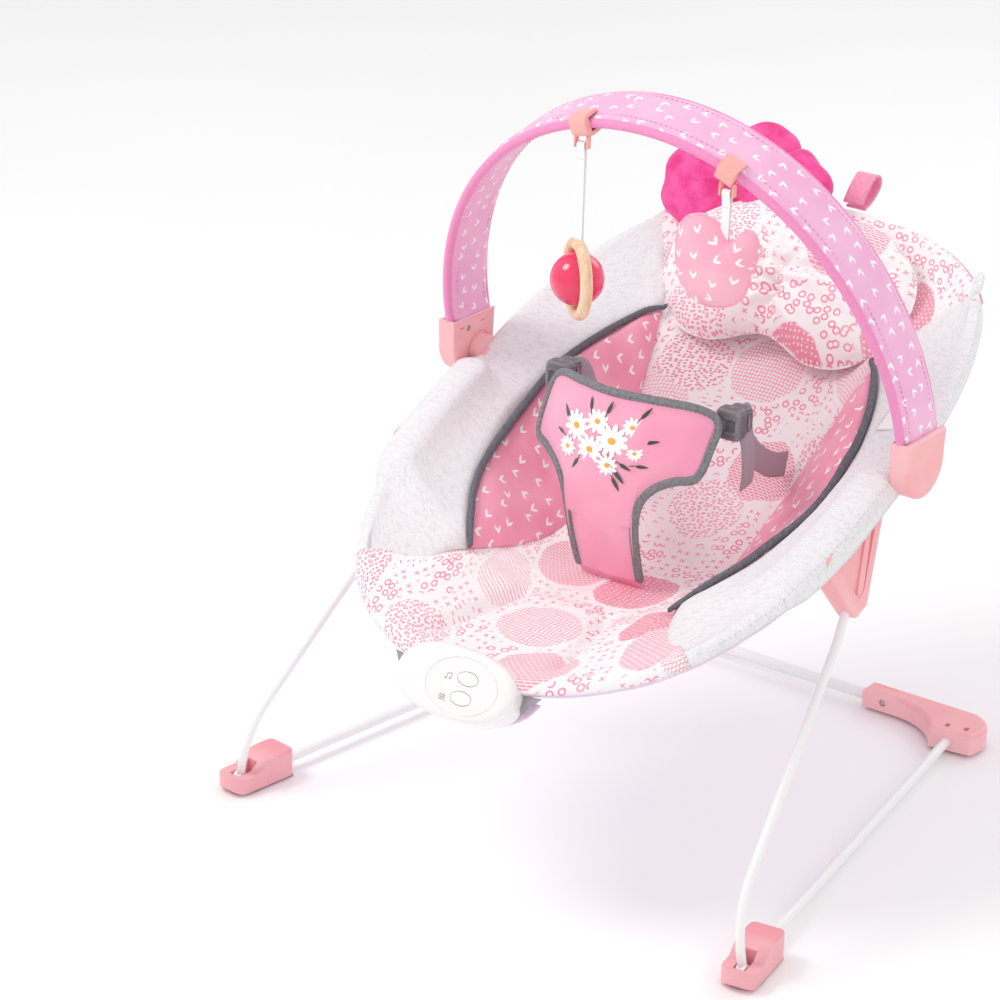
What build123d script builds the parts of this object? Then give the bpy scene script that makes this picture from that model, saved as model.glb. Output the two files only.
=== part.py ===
from build123d import *
import math
import os

# Baby bouncer seat with a toy bar.
# Millimetres. X runs across the seat, +Y towards the head, +Z up, floor at Z = 0.
# Right-hand pieces are drawn once and mirrored for the left.

os.makedirs("parts", exist_ok=True)

# ---------------------------------------------------------------- seat rim
RIM_Y = -4.5              # middle of the seat frame
RIM_Z = 291.7
RIM_TILT = 23.03          # seat frame leans back, degrees
RIM_HALF_WIDTH = 191.0    # to the tube's centre line
TUBE_R = 5.0
SLEEVE_R = 7.0            # fabric hem round the tube
COVER_INSET = 8.7         # the cover's panels start this far inside the tube's centre line
JOIN_V = -48.0            # where lower and upper tube meet, inside the side brackets

# Bends of one side: straight up to the first number, then radius and turn, twice.
FOOT_BENDS = (49.1, 298.6, 28.6, 163.8, 29.6)
HEAD_BENDS = (57.3, 356.9, 21.9, 135.3, 49.5)

# ---------------------------------------------------------------- sling
HALF_LENGTH = 265.5       # plan half length of the seat
FABRIC_HALF_WIDTH = 198.0
SHALLOW = 23.0            # dish of the whole cover
TROUGH = 61.0             # extra depth of the hollow the child lies in
PAD_THICK = 16.0
WING_THICK = 13.0
PANEL_THICK = 9.0
BACK_THICK = 1.6
WAIST = (94.0, -133.0)    # foot-end corner of a wing, X and Y
SHOULDER = (99.0, 137.0)  # head-end corner of a wing
WING_OUT = 143.0          # widest point of the piping
WING_IN = 75.0            # where the wing meets the centre pad

# ---------------------------------------------------------------- legs
PIVOT = (235.7, -240.0, 10.0)
LEG_LEAN = 9.64           # legs lean inwards, degrees
LEG_R = 3.5
FLOOR_ROD_R = 4.0
REAR_BAR_R = 5.0
REAR_BAR_Y = 206.0
ROD_Z = 10.0
PIN_R = 2.0
RUNNING = 0.06

# ---------------------------------------------------------------- toy bar
HUB_Y = 14.0
HUB_TOP = 339.0
HUB_IN = 200.5
HUB_OUT = 218.0
HUB_PIVOT = (20.0, 308.0)
ARCH_HALF = 212.5         # outer half width
ARCH_FOOT = 334.0
ARCH_TOP = 563.0
ARCH_LEAN = -0.27         # forward lean, Y per Z
ARCH_TWIST = 0.24         # the band tips forward at the top, radians
BAND_WIDE = 54.0
BAND_THICK = 10.5

# ---------------------------------------------------------------- control unit
UNIT_TILT = 35.0
UNIT_FACE = (0.0, -278.7, 182.5)
UNIT_A = 52.0
UNIT_B = 27.0
UNIT_DEEP = 24.0
UNIT_SPLIT = 11.0
UNIT_WALL = 2.0


def save(shape, name):
    shape.label = name
    export_step(shape, f"parts/{name}.step")


def save_pair(shape, name):
    save(shape, f"{name}_right")
    save(mirror(shape, about=Plane.YZ), f"{name}_left")


def box(x0, x1, y0, y1, z0, z1):
    return Pos((x0 + x1) / 2, (y0 + y1) / 2, (z0 + z1) / 2) * Box(x1 - x0, y1 - y0, z1 - z0)


def rod(a, b, radius):
    line = Line(a, b)
    return sweep(Plane(origin=a, z_dir=line % 0) * Circle(radius), path=line)


# ================================================================ rim
TILT = math.radians(RIM_TILT)
rim_plane = Plane(
    origin=(0, RIM_Y, RIM_Z), x_dir=(1, 0, 0), z_dir=(0, -math.sin(TILT), math.cos(TILT))
)


def bend_chain(bends, sign, start_v, inset):
    """Right half of the foot (sign -1) or head (sign +1) end, as joined arcs."""
    straight, r1, turn1, r2, turn2 = bends
    w = RIM_HALF_WIDTH - inset
    first = JernArc((w, sign * straight), (0, sign), r1 - inset, sign * turn1)
    second = JernArc(first @ 1, first % 1, r2 - inset, sign * turn2)
    turned = turn1 + turn2
    r3 = (second @ 1).X / math.cos(math.radians(turned))
    third = JernArc(second @ 1, second % 1, r3, sign * (90 - turned))
    return [Line((w, start_v), (w, sign * straight)), first, second, third]


def rim_end(bends, sign, start_v, inset=0.0):
    """One end of the rim, from side to side, placed on the seat frame's plane."""
    right = Curve() + bend_chain(bends, sign, start_v, inset)
    both = right + mirror(right, about=Plane.YZ)
    return rim_plane.location * both.wire()


def rim_loop(inset=0.0):
    pieces = Curve() + bend_chain(FOOT_BENDS, -1, 0, inset)
    pieces += bend_chain(HEAD_BENDS, 1, 0, inset)
    both = pieces + mirror(pieces, about=Plane.YZ)
    return rim_plane.location * both.wire()


def pipe(path, radius):
    return sweep(Plane(origin=path @ 0, z_dir=path % 0) * Circle(radius), path=path)


def bracket_path():
    """The stretch of rim that the right side bracket clamps."""
    straight, r1 = FOOT_BENDS[0], FOOT_BENDS[1]
    line = Line((RIM_HALF_WIDTH, 30), (RIM_HALF_WIDTH, -straight))
    curve = JernArc(line @ 1, (0, -1), r1, -10.5)
    return rim_plane.location * (Curve() + [line, curve]).wire()


seat_tube_lower = pipe(rim_end(FOOT_BENDS, -1, JOIN_V - 0.5), TUBE_R)
seat_tube_upper = pipe(rim_end(HEAD_BENDS, 1, JOIN_V + 0.5), TUBE_R)
tube_space = pipe(rim_loop(), TUBE_R)

# ================================================================ base
FLOOR_ANGLE = 8.2         # floor rods run inwards towards the rear
front_end = (231.0, -221.7, ROD_Z)
rear_end = (170.0, 204.0, ROD_Z)

rear_bar = rod((-150, REAR_BAR_Y, ROD_Z), (150, REAR_BAR_Y, ROD_Z), REAR_BAR_R)
floor_rod = rod(front_end, rear_end, FLOOR_ROD_R)
save(rear_bar, "rear_bar")
save_pair(floor_rod, "floor_rod")


def elbow_outline():
    inner = TangentArc((112, 197), (160, 167), tangent=(1, 0))
    outer = ThreePointArc((198.5, 184), (195, 203), (177, 215))
    loop = Curve() + [
        Line((80, 197), (112, 197)),
        inner,
        Line((160, 167), (197, 172)),
        Line((197, 172), (198.5, 184)),
        outer,
        Line((177, 215), (80, 215)),
        Line((80, 215), (80, 197)),
    ]
    return make_face(loop.wire())


def build_elbow():
    body = Pos(0, 0, 3) * extrude(elbow_outline(), 17)
    corners = [e for e in body.edges().filter_by(Axis.Z) if (e @ 0).X > 170]
    body = fillet(corners, 5)
    body = fillet(body.faces().sort_by(Axis.Z)[-1].edges(), 4)
    body -= rear_bar
    body -= floor_rod
    body -= box(168, 172, 177, 183, 17, 30)
    body -= box(184, 188, 180, 186, 17, 30)
    body -= box(86, 108, 209, 209.8, 19.2, 30)
    body -= Pos(99, 196, 11) * Rot(90, 0, 0) * Cylinder(3.2, 5)
    return body


def build_rear_pad():
    pad = Pos(179, 192, 1.5) * Cylinder(13, 3)
    return pad + box(168, 190, 186, 205, 0, 3)


elbow = build_elbow()
save_pair(elbow, "rear_elbow")
save_pair(build_rear_pad(), "rear_pad")

foot_place = Pos(PIVOT[0], PIVOT[1], 0) * Rot(0, 0, FLOOR_ANGLE)


def foot_outline(half, front, back):
    tip = Pos(0, front + half) * Circle(half)
    return tip + Pos(0, (front + half + back) / 2) * Rectangle(2 * half, back - front - half)


def build_foot():
    body = Pos(0, 0, 1.8) * extrude(foot_outline(14, -17, 46), 24)
    profile = Polyline(
        (-20, 30), (-20, 19), (-16, 18), (-8, 14.5), (7, 14.5), (17, 22.5), (34, 24.5), (50, 24.5),
        (50, 30), close=True,
    )
    body -= extrude(Plane.YZ * make_face(profile), 40, both=True)
    bow = Polyline((-22, -1), (-9, -1), (-9, 1.8), (-14.5, 4.5), (-18.5, 10), (-22, 12), close=True)
    body -= extrude(Plane.YZ * make_face(bow), 40, both=True)
    back_edges = body.edges().filter_by(Axis.Z).sort_by(Axis.Y)[-2:]
    body = fillet(back_edges, 5)
    roof = body.faces().sort_by(Axis.Z)[-1]
    body = fillet(roof.edges().sort_by(Axis.Y)[1:], 1.5)
    body -= box(-5, 5, -7, 14, 4.2, 40)
    body = foot_place * body
    body -= Pos(*PIVOT) * Rot(0, 90, 0) * Cylinder(PIN_R + RUNNING, 21)
    return body - floor_rod


front_foot = build_foot()
sole = foot_place * extrude(foot_outline(13.2, -9.5, 45), 1.8)
save_pair(front_foot, "front_foot")
save_pair(sole, "foot_sole")

# ================================================================ legs and side brackets
LEAN = math.radians(LEG_LEAN)
leg_plane = Plane(origin=PIVOT, x_dir=(0, 1, 0), z_dir=(math.cos(LEAN), 0, math.sin(LEAN)))

leg_path = leg_plane.location * FilletPolyline(
    (0, 0), (0, 44.7), (162, 192.3), (190, 226), radius=70
)
pivot_pin = Pos(*PIVOT) * Rot(0, 90, 0) * Cylinder(PIN_R, 20)
leg = pipe(leg_path, LEG_R) + Pos(*PIVOT) * Rot(0, 90, 0) * Cylinder(5, 7)
leg -= pivot_pin
save_pair(leg, "upright_rod")
save_pair(pivot_pin, "pivot_pin")

BRACKET_HALF = 7.5


def build_bracket():
    """Triangular plate on the leg's plane, a barrel round the tube and the bar's pivot boss."""
    corners = [(180, 207), (196, 212), (240, 292), (229, 300), (147, 262), (146, 252)]
    plate = extrude(leg_plane.location * make_face(Polyline(*corners, close=True)), BRACKET_HALF, both=True)
    recess = [(186, 220), (194, 224), (226, 284), (172, 259), (163, 250)]
    cut = Pos(0, 0, BRACKET_HALF - 2.2) * extrude(make_face(Polyline(*recess, close=True)), 10)
    plate -= leg_plane.location * cut
    rib = Polyline((181, 215), (190, 215), (216, 274), (208, 272), close=True)
    plate += leg_plane.location * extrude(make_face(rib), BRACKET_HALF - 0.6)
    barrel = pipe(bracket_path(), TUBE_R + 3.2)
    y, z = HUB_PIVOT
    boss = Pos(196.1, y, z) * Rot(0, 90, 0) * Cylinder(13, 8.2)
    pin = Pos(204.4, y, z) * Rot(0, 90, 0) * Cylinder(6, 8.6)
    body = plate + barrel + boss + pin
    return body - tube_space - leg


bracket = build_bracket()
save_pair(bracket, "side_bracket")
save(seat_tube_lower, "seat_tube_lower")
save(seat_tube_upper, "seat_tube_upper")

hem_face = Circle(SLEEVE_R) - Circle(TUBE_R)
hem_path = rim_loop()
hem = sweep(Plane(origin=hem_path @ 0, z_dir=hem_path % 0) * hem_face, path=hem_path)
hem = hem - bracket - mirror(bracket, about=Plane.YZ)


# ================================================================ sling surface
def sling_height(x, y):
    """Height of the cover's top surface: a shallow dish with a deep trough along its middle."""
    along = (y - RIM_Y) / HALF_LENGTH
    out = (abs(x / FABRIC_HALF_WIDTH) ** 2.4 + abs(along) ** 2.4) ** (1 / 2.4)
    edge = RIM_Z + math.tan(TILT) * (y - RIM_Y)
    dish = SHALLOW * (1 - min(out, 1.12) ** 3)
    spread = 0.50 if along < -0.05 else 0.85
    deep = TROUGH * math.exp(-(((along + 0.05) / spread) ** 2))
    reach = 101 + 50 * math.exp(-((along / 0.33) ** 2))
    across = max(0.0, 1 - (abs(x) / reach) ** 4) ** 1.5
    return edge - dish - deep * across + 5 * min(out, 1.0) ** 8


def sling_face(drop=0.0):
    rows = []
    for i in range(29):
        y = -280 + 20 * i
        rows.append([Vector(x, y, sling_height(x, y) - drop) for x in range(-200, 201, 16)])
    return Face.make_surface_from_array_of_points(rows)


def slab(top_drop, thick):
    """The layer of the sling from top_drop below its surface to thick below that."""
    return Solid.extrude(sling_face(top_drop), Vector(0, 0, -thick))


def prism(face):
    return Pos(0, 0, 60) * extrude(face, 460)


cover_wire = rim_loop(COVER_INSET)
cover_prism = extrude(make_face(cover_wire), 260, dir=(0, 0, 1), both=True)


def wing_outline(out, inn):
    outer = ThreePointArc(WAIST, (out, 3), SHOULDER)
    inner = ThreePointArc(SHOULDER, (inn, 3), WAIST)
    return make_face((Curve() + [outer, inner]).wire())


def side_outline():
    """Everything outside the piping and the two cross seams."""
    edge = ThreePointArc(SHOULDER, (WING_OUT, 3), WAIST)
    loop = Curve() + [
        edge,
        Line(WAIST, (146, -240)),
        Line((146, -240), (230, -240)),
        Line((230, -240), (230, 245)),
        Line((230, 245), (152, 245)),
        Line((152, 245), SHOULDER),
    ]
    return make_face(loop.wire())


wing_prism = prism(wing_outline(WING_OUT, WING_IN))
side_prism = prism(side_outline())

wing = slab(0, WING_THICK) & wing_prism & cover_prism
side_panel = slab(0, PANEL_THICK) & side_prism & cover_prism
not_pad = wing_prism + side_prism
centre_pad = slab(0, PAD_THICK) & cover_prism
centre_pad = centre_pad - not_pad - mirror(not_pad, about=Plane.YZ)
seat_back = slab(PAD_THICK + 0.6, BACK_THICK) & cover_prism
side_panel -= bracket
save_pair(wing, "seat_wing")
save_pair(side_panel, "side_panel")
save(hem, "rim_hem")

# ================================================================ control unit
UT = math.radians(UNIT_TILT)
unit_plane = Plane(origin=UNIT_FACE, x_dir=(1, 0, 0), z_dir=(0, -math.cos(UT), math.sin(UT)))


def unit_oval(shrink):
    """Superellipse outline of the unit, in its own plane."""
    points = []
    for i in range(24):
        a = 2 * math.pi * (i + 0.5) / 24
        c, s = math.cos(a), math.sin(a)
        x = math.copysign(abs(c) ** 0.85, c) * (UNIT_A - shrink)
        y = math.copysign(abs(s) ** 0.85, s) * (UNIT_B - shrink)
        points.append((x, y))
    return make_face(Spline(*points, periodic=True))


def unit_local(shape):
    return unit_plane.location * shape


def layer(shrink, top, bottom):
    return Pos(0, 0, bottom) * extrude(unit_oval(shrink), top - bottom)


BUTTONS = {"button_music": (12.0, 5.0), "button_vibration": (12.0, -10.0)}
foot_tube_path = rim_end(FOOT_BENDS, -1, JOIN_V)
tube_channel = pipe(foot_tube_path, SLEEVE_R + 0.3)
channel_wall = pipe(foot_tube_path, SLEEVE_R + 1.9)
unit_void = unit_local(layer(UNIT_WALL, -UNIT_WALL, UNIT_WALL - UNIT_DEEP)) - channel_wall


unit_room = unit_local(layer(-0.4, 0.4, -UNIT_DEEP - 0.4))
centre_pad -= unit_room
seat_back -= unit_room
save(centre_pad, "centre_pad")
save(seat_back, "seat_back")


def build_front_cover():
    body = layer(0, 0, -UNIT_SPLIT)
    body = fillet(body.edges().sort_by(Axis.Z)[-1], 6)
    groove = Pos(9, -1.5, -0.5) * extrude(Ellipse(31.5, 21.5) - Ellipse(30.9, 20.9), 2)
    body -= groove & Pos(9, -1.5, 0) * Box(80, 43, 4)
    for x, y in BUTTONS.values():
        body -= Pos(x, y, -10) * extrude(Ellipse(9.4, 5.4), 20)
    return unit_local(body) - unit_void - tube_channel


def build_back_cover():
    body = layer(0, -UNIT_SPLIT, -UNIT_DEEP)
    body = fillet(body.edges().sort_by(Axis.Z)[0], 4)
    body -= Pos(0, -13.5, -UNIT_DEEP + 0.9) * Box(70, 14.4, 1.9)
    return unit_local(body) - unit_void - tube_channel


def build_button(x, y):
    cap = Pos(x, y, -2.6) * extrude(Ellipse(9.0, 5.0), 3.2)
    cap = fillet(cap.edges().sort_by(Axis.Z)[-1], 0.8)
    flange = Pos(x, y, -3.0) * extrude(Ellipse(10.2, 6.2), 0.7)
    return unit_local(cap + flange)


save(build_front_cover(), "unit_front_cover")
save(build_back_cover(), "unit_back_cover")
for button_name, (bx, by) in BUTTONS.items():
    save(build_button(bx, by), button_name)

door = unit_local(Pos(0, -13.5, -UNIT_DEEP + 0.9) * Box(69.4, 13.8, 1.8))
save(door, "battery_door")
board = Pos(10, -4, -5.2) * Box(52, 26, 1.0)
save(unit_local(board) - channel_wall, "circuit_board")
motor = Pos(-14, 21, -10.5) * Rot(0, 90, 0) * Cylinder(2.2, 14)
motor_shaft = Pos(-3.5, 21, -10.5) * Rot(0, 90, 0) * Cylinder(0.5, 7)
save(unit_local(motor + motor_shaft), "vibration_motor")
weight = Pos(-2.4, 21, -10.5) * Rot(0, 90, 0) * (Cylinder(2.2, 4) & Pos(1.1, 0, 0) * Box(2.8, 6, 6))
weight -= Pos(-2.4, 21, -10.5) * Rot(0, 90, 0) * Cylinder(0.5 + RUNNING, 6)
save(unit_local(weight), "motor_weight")

# Flap of the cover that hangs behind the unit.
flap_outline = make_face(Polyline((-74, 6), (-52, -24), (52, -24), (74, 6), close=True))
flap = unit_local(Pos(0, 0, -UNIT_DEEP - 3.2) * extrude(flap_outline, 2)) - channel_wall
save(flap - seat_back - centre_pad, "unit_flap")

# ================================================================ toy bar
HUB_MID = (HUB_IN + HUB_OUT) / 2


def hub_outline():
    y0, y1 = HUB_Y - 28, HUB_Y + 28
    loop = Curve() + [
        Line((y0, HUB_TOP), (y1, HUB_TOP)),
        Line((y1, HUB_TOP), (y1 - 1, 318)),
        ThreePointArc((y1 - 1, 318), (HUB_Y - 2, 290), (y0 + 1, 318)),
        Line((y0 + 1, 318), (y0, HUB_TOP)),
    ]
    return make_face(loop.wire())


def arch_point(angle, inset):
    """Centre of the band's section, its width direction and its outward normal."""
    h = ARCH_TOP - ARCH_FOOT - inset
    w = ARCH_HALF - inset
    z = ARCH_FOOT + h * math.cos(angle)
    centre = Vector(w * math.sin(angle), HUB_Y + ARCH_LEAN * (z - HUB_TOP), z)
    tip = ARCH_TWIST * math.cos(angle)
    wide = Vector(0, math.cos(tip), math.sin(tip))
    along = Vector(w * math.cos(angle), -ARCH_LEAN * h * math.sin(angle), -h * math.sin(angle))
    return centre, wide, along.cross(wide).normalized() * -1


def band_section(centre, wide, out, width, thick):
    w, t = wide * (width / 2), out * (thick / 2)
    return Wire.make_polygon([centre + w + t, centre - w + t, centre - w - t, centre + w - t])


def band(width, thick, foot_z):
    """The arch as a strip: a stub down into each hub and the curved part between."""
    sections = []
    for step in range(-9, 10):
        sections.append(band_section(*arch_point(math.radians(10 * step), BAND_THICK / 2), width, thick))
    for end in (-1, 1):
        x = end * (ARCH_HALF - BAND_THICK / 2)
        y = HUB_Y + ARCH_LEAN * (foot_z - HUB_TOP) * 0.5
        stub = band_section(Vector(x, y, foot_z), Vector(0, 1, 0), Vector(end, 0, 0), width, thick)
        sections.insert(0 if end < 0 else len(sections), stub)
    return Solid.make_loft(sections, ruled=False)


bar_core = band(40, 2.4, 318)
bar_sleeve = band(BAND_WIDE, BAND_THICK, 331) - band(40, 2.4, 318)
save(bar_core, "bar_core")
save(bar_sleeve, "bar_sleeve")

hub = extrude(Plane.YZ * hub_outline(), HUB_OUT - HUB_IN)
hub = Pos(HUB_IN, 0, 0) * hub
hub = fillet(hub.faces().sort_by(Axis.X)[-1].edges(), 3.5)
hub = fillet(hub.faces().sort_by(Axis.X)[0].edges(), 2)
hub -= band(BAND_WIDE + 1, BAND_THICK + 1, 330) + band(40, 2.4, 318)
pivot_y, pivot_z = HUB_PIVOT
hub_bore = Pos(HUB_IN + 4.3, pivot_y, pivot_z) * Rot(0, 90, 0) * Cylinder(6 + RUNNING, 9.2)
inner_half = hub & box(HUB_IN - 1, HUB_MID, -100, 100, 200, 400)
outer_half = hub & box(HUB_MID, HUB_OUT + 1, -100, 100, 200, 400)
screw_place = Pos(HUB_IN + 1.6, 6, 329) * Rot(0, 90, 0)
inner_half -= hub_bore + screw_place * Cylinder(2.6, 4.4)
ring_line = Cylinder(15, 1.2) - Cylinder(14.4, 1.2)
inner_half -= Pos(HUB_IN, pivot_y, pivot_z) * Rot(0, 90, 0) * ring_line
for slot_y in (-5, 22):
    inner_half -= box(HUB_IN - 1, HUB_IN + 0.9, slot_y, slot_y + 5, 330.5, 331.7)
save_pair(inner_half, "hub_inner")
save_pair(outer_half - hub_bore, "hub_outer")

# ---------------------------------------------------------------- hanging toys
CLIP_LONG = 15.0
EYE_DROP = 15.0           # hanging point below the band's edge


def edge_frame(angle):
    """Plane on the band's front edge: X along the arch, Y into the band, Z outwards."""
    centre, wide, out = arch_point(angle, BAND_THICK / 2)
    return Plane(origin=centre - wide * (BAND_WIDE / 2), x_dir=wide.cross(out), z_dir=out)


def build_clip(angle):
    frame = edge_frame(angle)
    outer = Pos(0, 3.5, 0) * Box(CLIP_LONG, 20, 2 * 8.4)
    outer = fillet(outer.edges().filter_by(Axis.X), 6)
    inner = Pos(0, 10, 0) * Box(CLIP_LONG + 2, 21.2, 2 * 5.6)
    shell = frame.location * (outer - inner)
    spot = hang_point(angle)
    ear = Box(1.6, 4.4, 10)
    ears = Pos(spot.X, spot.Y, spot.Z + 2.5) * (Pos(5.5, 0, 0) * ear + Pos(-5.5, 0, 0) * ear)
    bar = Pos(spot.X, spot.Y, spot.Z) * Rot(0, 90, 0) * Cylinder(1.1, 11)
    return shell + (ears - frame.location * Pos(0, 10, 0) * Box(40, 21.2, 2 * 5.6)) + bar


def hang_point(angle):
    origin = edge_frame(angle).origin
    return Vector(origin.X, origin.Y, origin.Z - EYE_DROP)


def hang_angle(x):
    return math.asin(x / (ARCH_HALF - BAND_THICK / 2))


RING_ANGLE = hang_angle(-45)
HEART_ANGLE = hang_angle(81)
save(build_clip(RING_ANGLE), "toy_clip_left")
save(build_clip(HEART_ANGLE), "toy_clip_right")


def build_ribbon(spot, length):
    eye = Rot(0, 90, 0) * (Cylinder(2.5, 7.6) - Cylinder(1.5, 7.6))
    strip = Pos(0, 0, -2 - length / 2) * Box(7.6, 1.6, length)
    return Pos(spot.X, spot.Y, spot.Z) * (eye + strip)


BALL_R = 20.8
RING_R = 27.0
RING_WIRE = 4.8
ring_spot = hang_point(RING_ANGLE)
ring_z = 426.0
ring_middle = Pos(ring_spot.X, ring_spot.Y, ring_z)
ring = ring_middle * Rot(0, 0, 49.5) * Rot(0, 90, 0) * Torus(RING_R, RING_WIRE)
ring_ribbon = build_ribbon(ring_spot, ring_spot.Z - 2 - (ring_z + RING_R + 1))
ball = ring_middle * (Sphere(BALL_R) - Cylinder(1.4 + RUNNING, 60))
cord = ring_middle * Cylinder(1.4, 2 * RING_R) - ring
save(ring_ribbon - ring, "ring_ribbon")
save(ring, "wood_ring")
save(cord, "ball_cord")
save(ball, "toy_ball")

heart_spot = hang_point(HEART_ANGLE)
HEART_Z = 466.0
lobes = Pos(-13, 6) * Circle(20) + Pos(14, 8) * Circle(17.5)
tip = make_face(Polyline((-31, -2), (29, -2), (9, -31), (-7, -33), close=True))
heart_shape = lobes + tip + Pos(-3, -20) * Circle(14)
heart = extrude(Plane.XZ * heart_shape, 11, both=True)
heart = Pos(heart_spot.X - 6, heart_spot.Y, HEART_Z) * Rot(0, 18, 0) * heart
heart_ribbon = build_ribbon(heart_spot, heart_spot.Z - 2 - (HEART_Z + 18))
save(heart, "heart_plush")
save(heart_ribbon - heart, "heart_ribbon")

# ================================================================ restraint
CROTCH = (-69.0, 189.0)   # fold line where the panel is sewn to the pad, Y and Z
PANEL_FOOT = 200.0
PANEL_TOP = 349.0
PANEL_WIDE = 72.0
LAYER = 6.0


def restraint_y(x, z):
    t = (z - CROTCH[1]) / (PANEL_TOP - CROTCH[1])
    bulge = 25 * math.sin(math.pi * min(max(t, 0), 1) * 0.86)
    return CROTCH[0] - bulge + 44 * (x / PANEL_WIDE) ** 2 * max(t, 0) ** 1.5


def restraint_face():
    rows = []
    for i in range(10):
        z = CROTCH[1] - 8 + 20 * i
        rows.append([Vector(x, restraint_y(x, z), z) for x in range(-84, 85, 12)])
    return Face.make_surface_from_array_of_points(rows)


def restraint_outline():
    """Narrow crotch strap widening into a rounded crossbar."""
    side = Curve() + [
        Line((0, PANEL_FOOT), (28, PANEL_FOOT)),
        Line((28, PANEL_FOOT), (30, 252)),
        ThreePointArc((30, 252), (43, 284), (70, 293)),
        Line((70, 293), (72, 338)),
        ThreePointArc((72, 338), (40, 346), (0, PANEL_TOP)),
    ]
    loop = side + mirror(side, about=Plane.YZ)
    return make_face(loop.wire())


outline_prism = extrude(Plane.XZ * restraint_outline(), 200, both=True)
restraint = Solid.extrude(restraint_face(), Vector(0, -LAYER, 0)) & outline_prism
save(restraint, "restraint_panel")

# ---------------------------------------------------------------- buckles and straps
buckle_y = restraint_y(74, 330)
socket = box(67, 90, buckle_y + 1.6, buckle_y + 16, 318, 344)
socket = fillet(socket.edges().filter_by(Axis.Y), 3)
socket -= box(71.5, 85.5, buckle_y + 4, buckle_y + 30, 326, 336)
plug = box(69, 88, buckle_y + 16.8, buckle_y + 28, 320, 342)
plug = fillet(plug.edges().filter_by(Axis.Y), 2.5)
plug += box(74.5, 82.5, buckle_y + 8, buckle_y + 20, 329, 333)
save_pair(socket, "buckle_socket")

STRAP_X = 70.0
strap_low = (58, sling_height(STRAP_X, 58) + 2)
strap_outline = Polyline(
    (buckle_y + 20, 341), (buckle_y + 20, 321), (44, strap_low[1] + 4), (66, strap_low[1] + 8),
    (66, strap_low[1] + 24), close=True,
)
strap = Pos(STRAP_X, 0, 0) * extrude(Plane.YZ * make_face(strap_outline), 1.8)
save_pair(plug, "buckle_plug")
save_pair(strap - plug - centre_pad - wing, "waist_strap")

# ================================================================ head end
PILLOW = (-6.0, 176.0, 370.0)
pillow_plane = Plane(origin=PILLOW, x_dir=(1, 0, 0), z_dir=(0, -0.766, 0.643))


def rounded_cushion(outline, thick, edge):
    body = extrude(outline, thick / 2, both=True)
    body = fillet(body.faces().sort_by(Axis.Z)[-1].edges(), edge)
    return fillet(body.faces().sort_by(Axis.Z)[0].edges(), edge)


def pillow_outline():
    """Wide rounded top, two lobes below with a notch between them."""
    right = [(60, 58), (106, 26), (112, -18), (86, -56), (48, -66)]
    left = [(-x, y) for x, y in reversed(right)]
    return make_face(Spline((0, 62), *right, (0, -50), *left, periodic=True))


pillow = pillow_plane.location * rounded_cushion(pillow_outline(), 48, 15)
pillow -= slab(0.0, 200)
save(pillow, "head_pillow")

FLOWER = (-70.0, 224.0, 417.0)
flower_plane = Plane(origin=FLOWER, x_dir=(1, 0, 0), z_dir=(0, -0.866, 0.5))
petals = Circle(26)
for k in range(5):
    turn = math.radians(90 + 72 * k)
    petals += Pos(48 * math.cos(turn), 36 * math.sin(turn)) * Circle(34)
flower = flower_plane.location * extrude(petals, 17, both=True)
flower = flower - pillow - pipe(rim_loop(), SLEEVE_R + 0.2) - slab(-1, 120)
flower = max(flower.solids(), key=lambda solid: solid.volume)
save(flower, "flower_plush")

loop_outer = Polyline((257, 412), (280, 435), (290, 434), (294, 425), (287, 416), (268, 407), close=True)
loop_inner = Polyline(
    (262.5, 413.5), (281, 431.5), (287.8, 430.6), (290.5, 424.8), (285, 419), (268, 410.2), close=True
)
head_loop = Pos(-8, 0, 0) * extrude(Plane.YZ * (make_face(loop_outer) - make_face(loop_inner)), 18)
head_loop -= pipe(rim_loop(), SLEEVE_R)
head_loop = max(head_loop.solids(), key=lambda solid: solid.volume)
save(head_loop, "head_loop")

label_box = box(148, 172, 62, 96, 200, 500)
care_label = slab(-1.1, 1.0) & label_box
save(care_label, "care_label")
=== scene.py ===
import bpy
import bmesh
import math
from mathutils import Matrix, Vector, noise


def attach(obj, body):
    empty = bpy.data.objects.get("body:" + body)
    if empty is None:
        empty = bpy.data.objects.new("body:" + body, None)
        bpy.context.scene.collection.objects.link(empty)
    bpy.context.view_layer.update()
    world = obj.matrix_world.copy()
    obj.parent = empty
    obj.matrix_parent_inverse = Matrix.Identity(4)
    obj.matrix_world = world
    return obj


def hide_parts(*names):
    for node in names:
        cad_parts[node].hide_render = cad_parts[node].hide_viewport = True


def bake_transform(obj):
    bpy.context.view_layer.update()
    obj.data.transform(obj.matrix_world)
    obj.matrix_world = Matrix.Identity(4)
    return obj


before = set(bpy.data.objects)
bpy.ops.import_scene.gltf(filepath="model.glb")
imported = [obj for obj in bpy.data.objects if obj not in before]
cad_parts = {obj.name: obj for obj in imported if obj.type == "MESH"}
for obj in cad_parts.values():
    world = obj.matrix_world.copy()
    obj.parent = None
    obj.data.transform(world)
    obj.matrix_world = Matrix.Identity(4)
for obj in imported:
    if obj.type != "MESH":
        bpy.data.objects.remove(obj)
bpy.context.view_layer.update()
noise.seed_set(11)  # noise_vector() takes its offsets from the clock unless this is set

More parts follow.
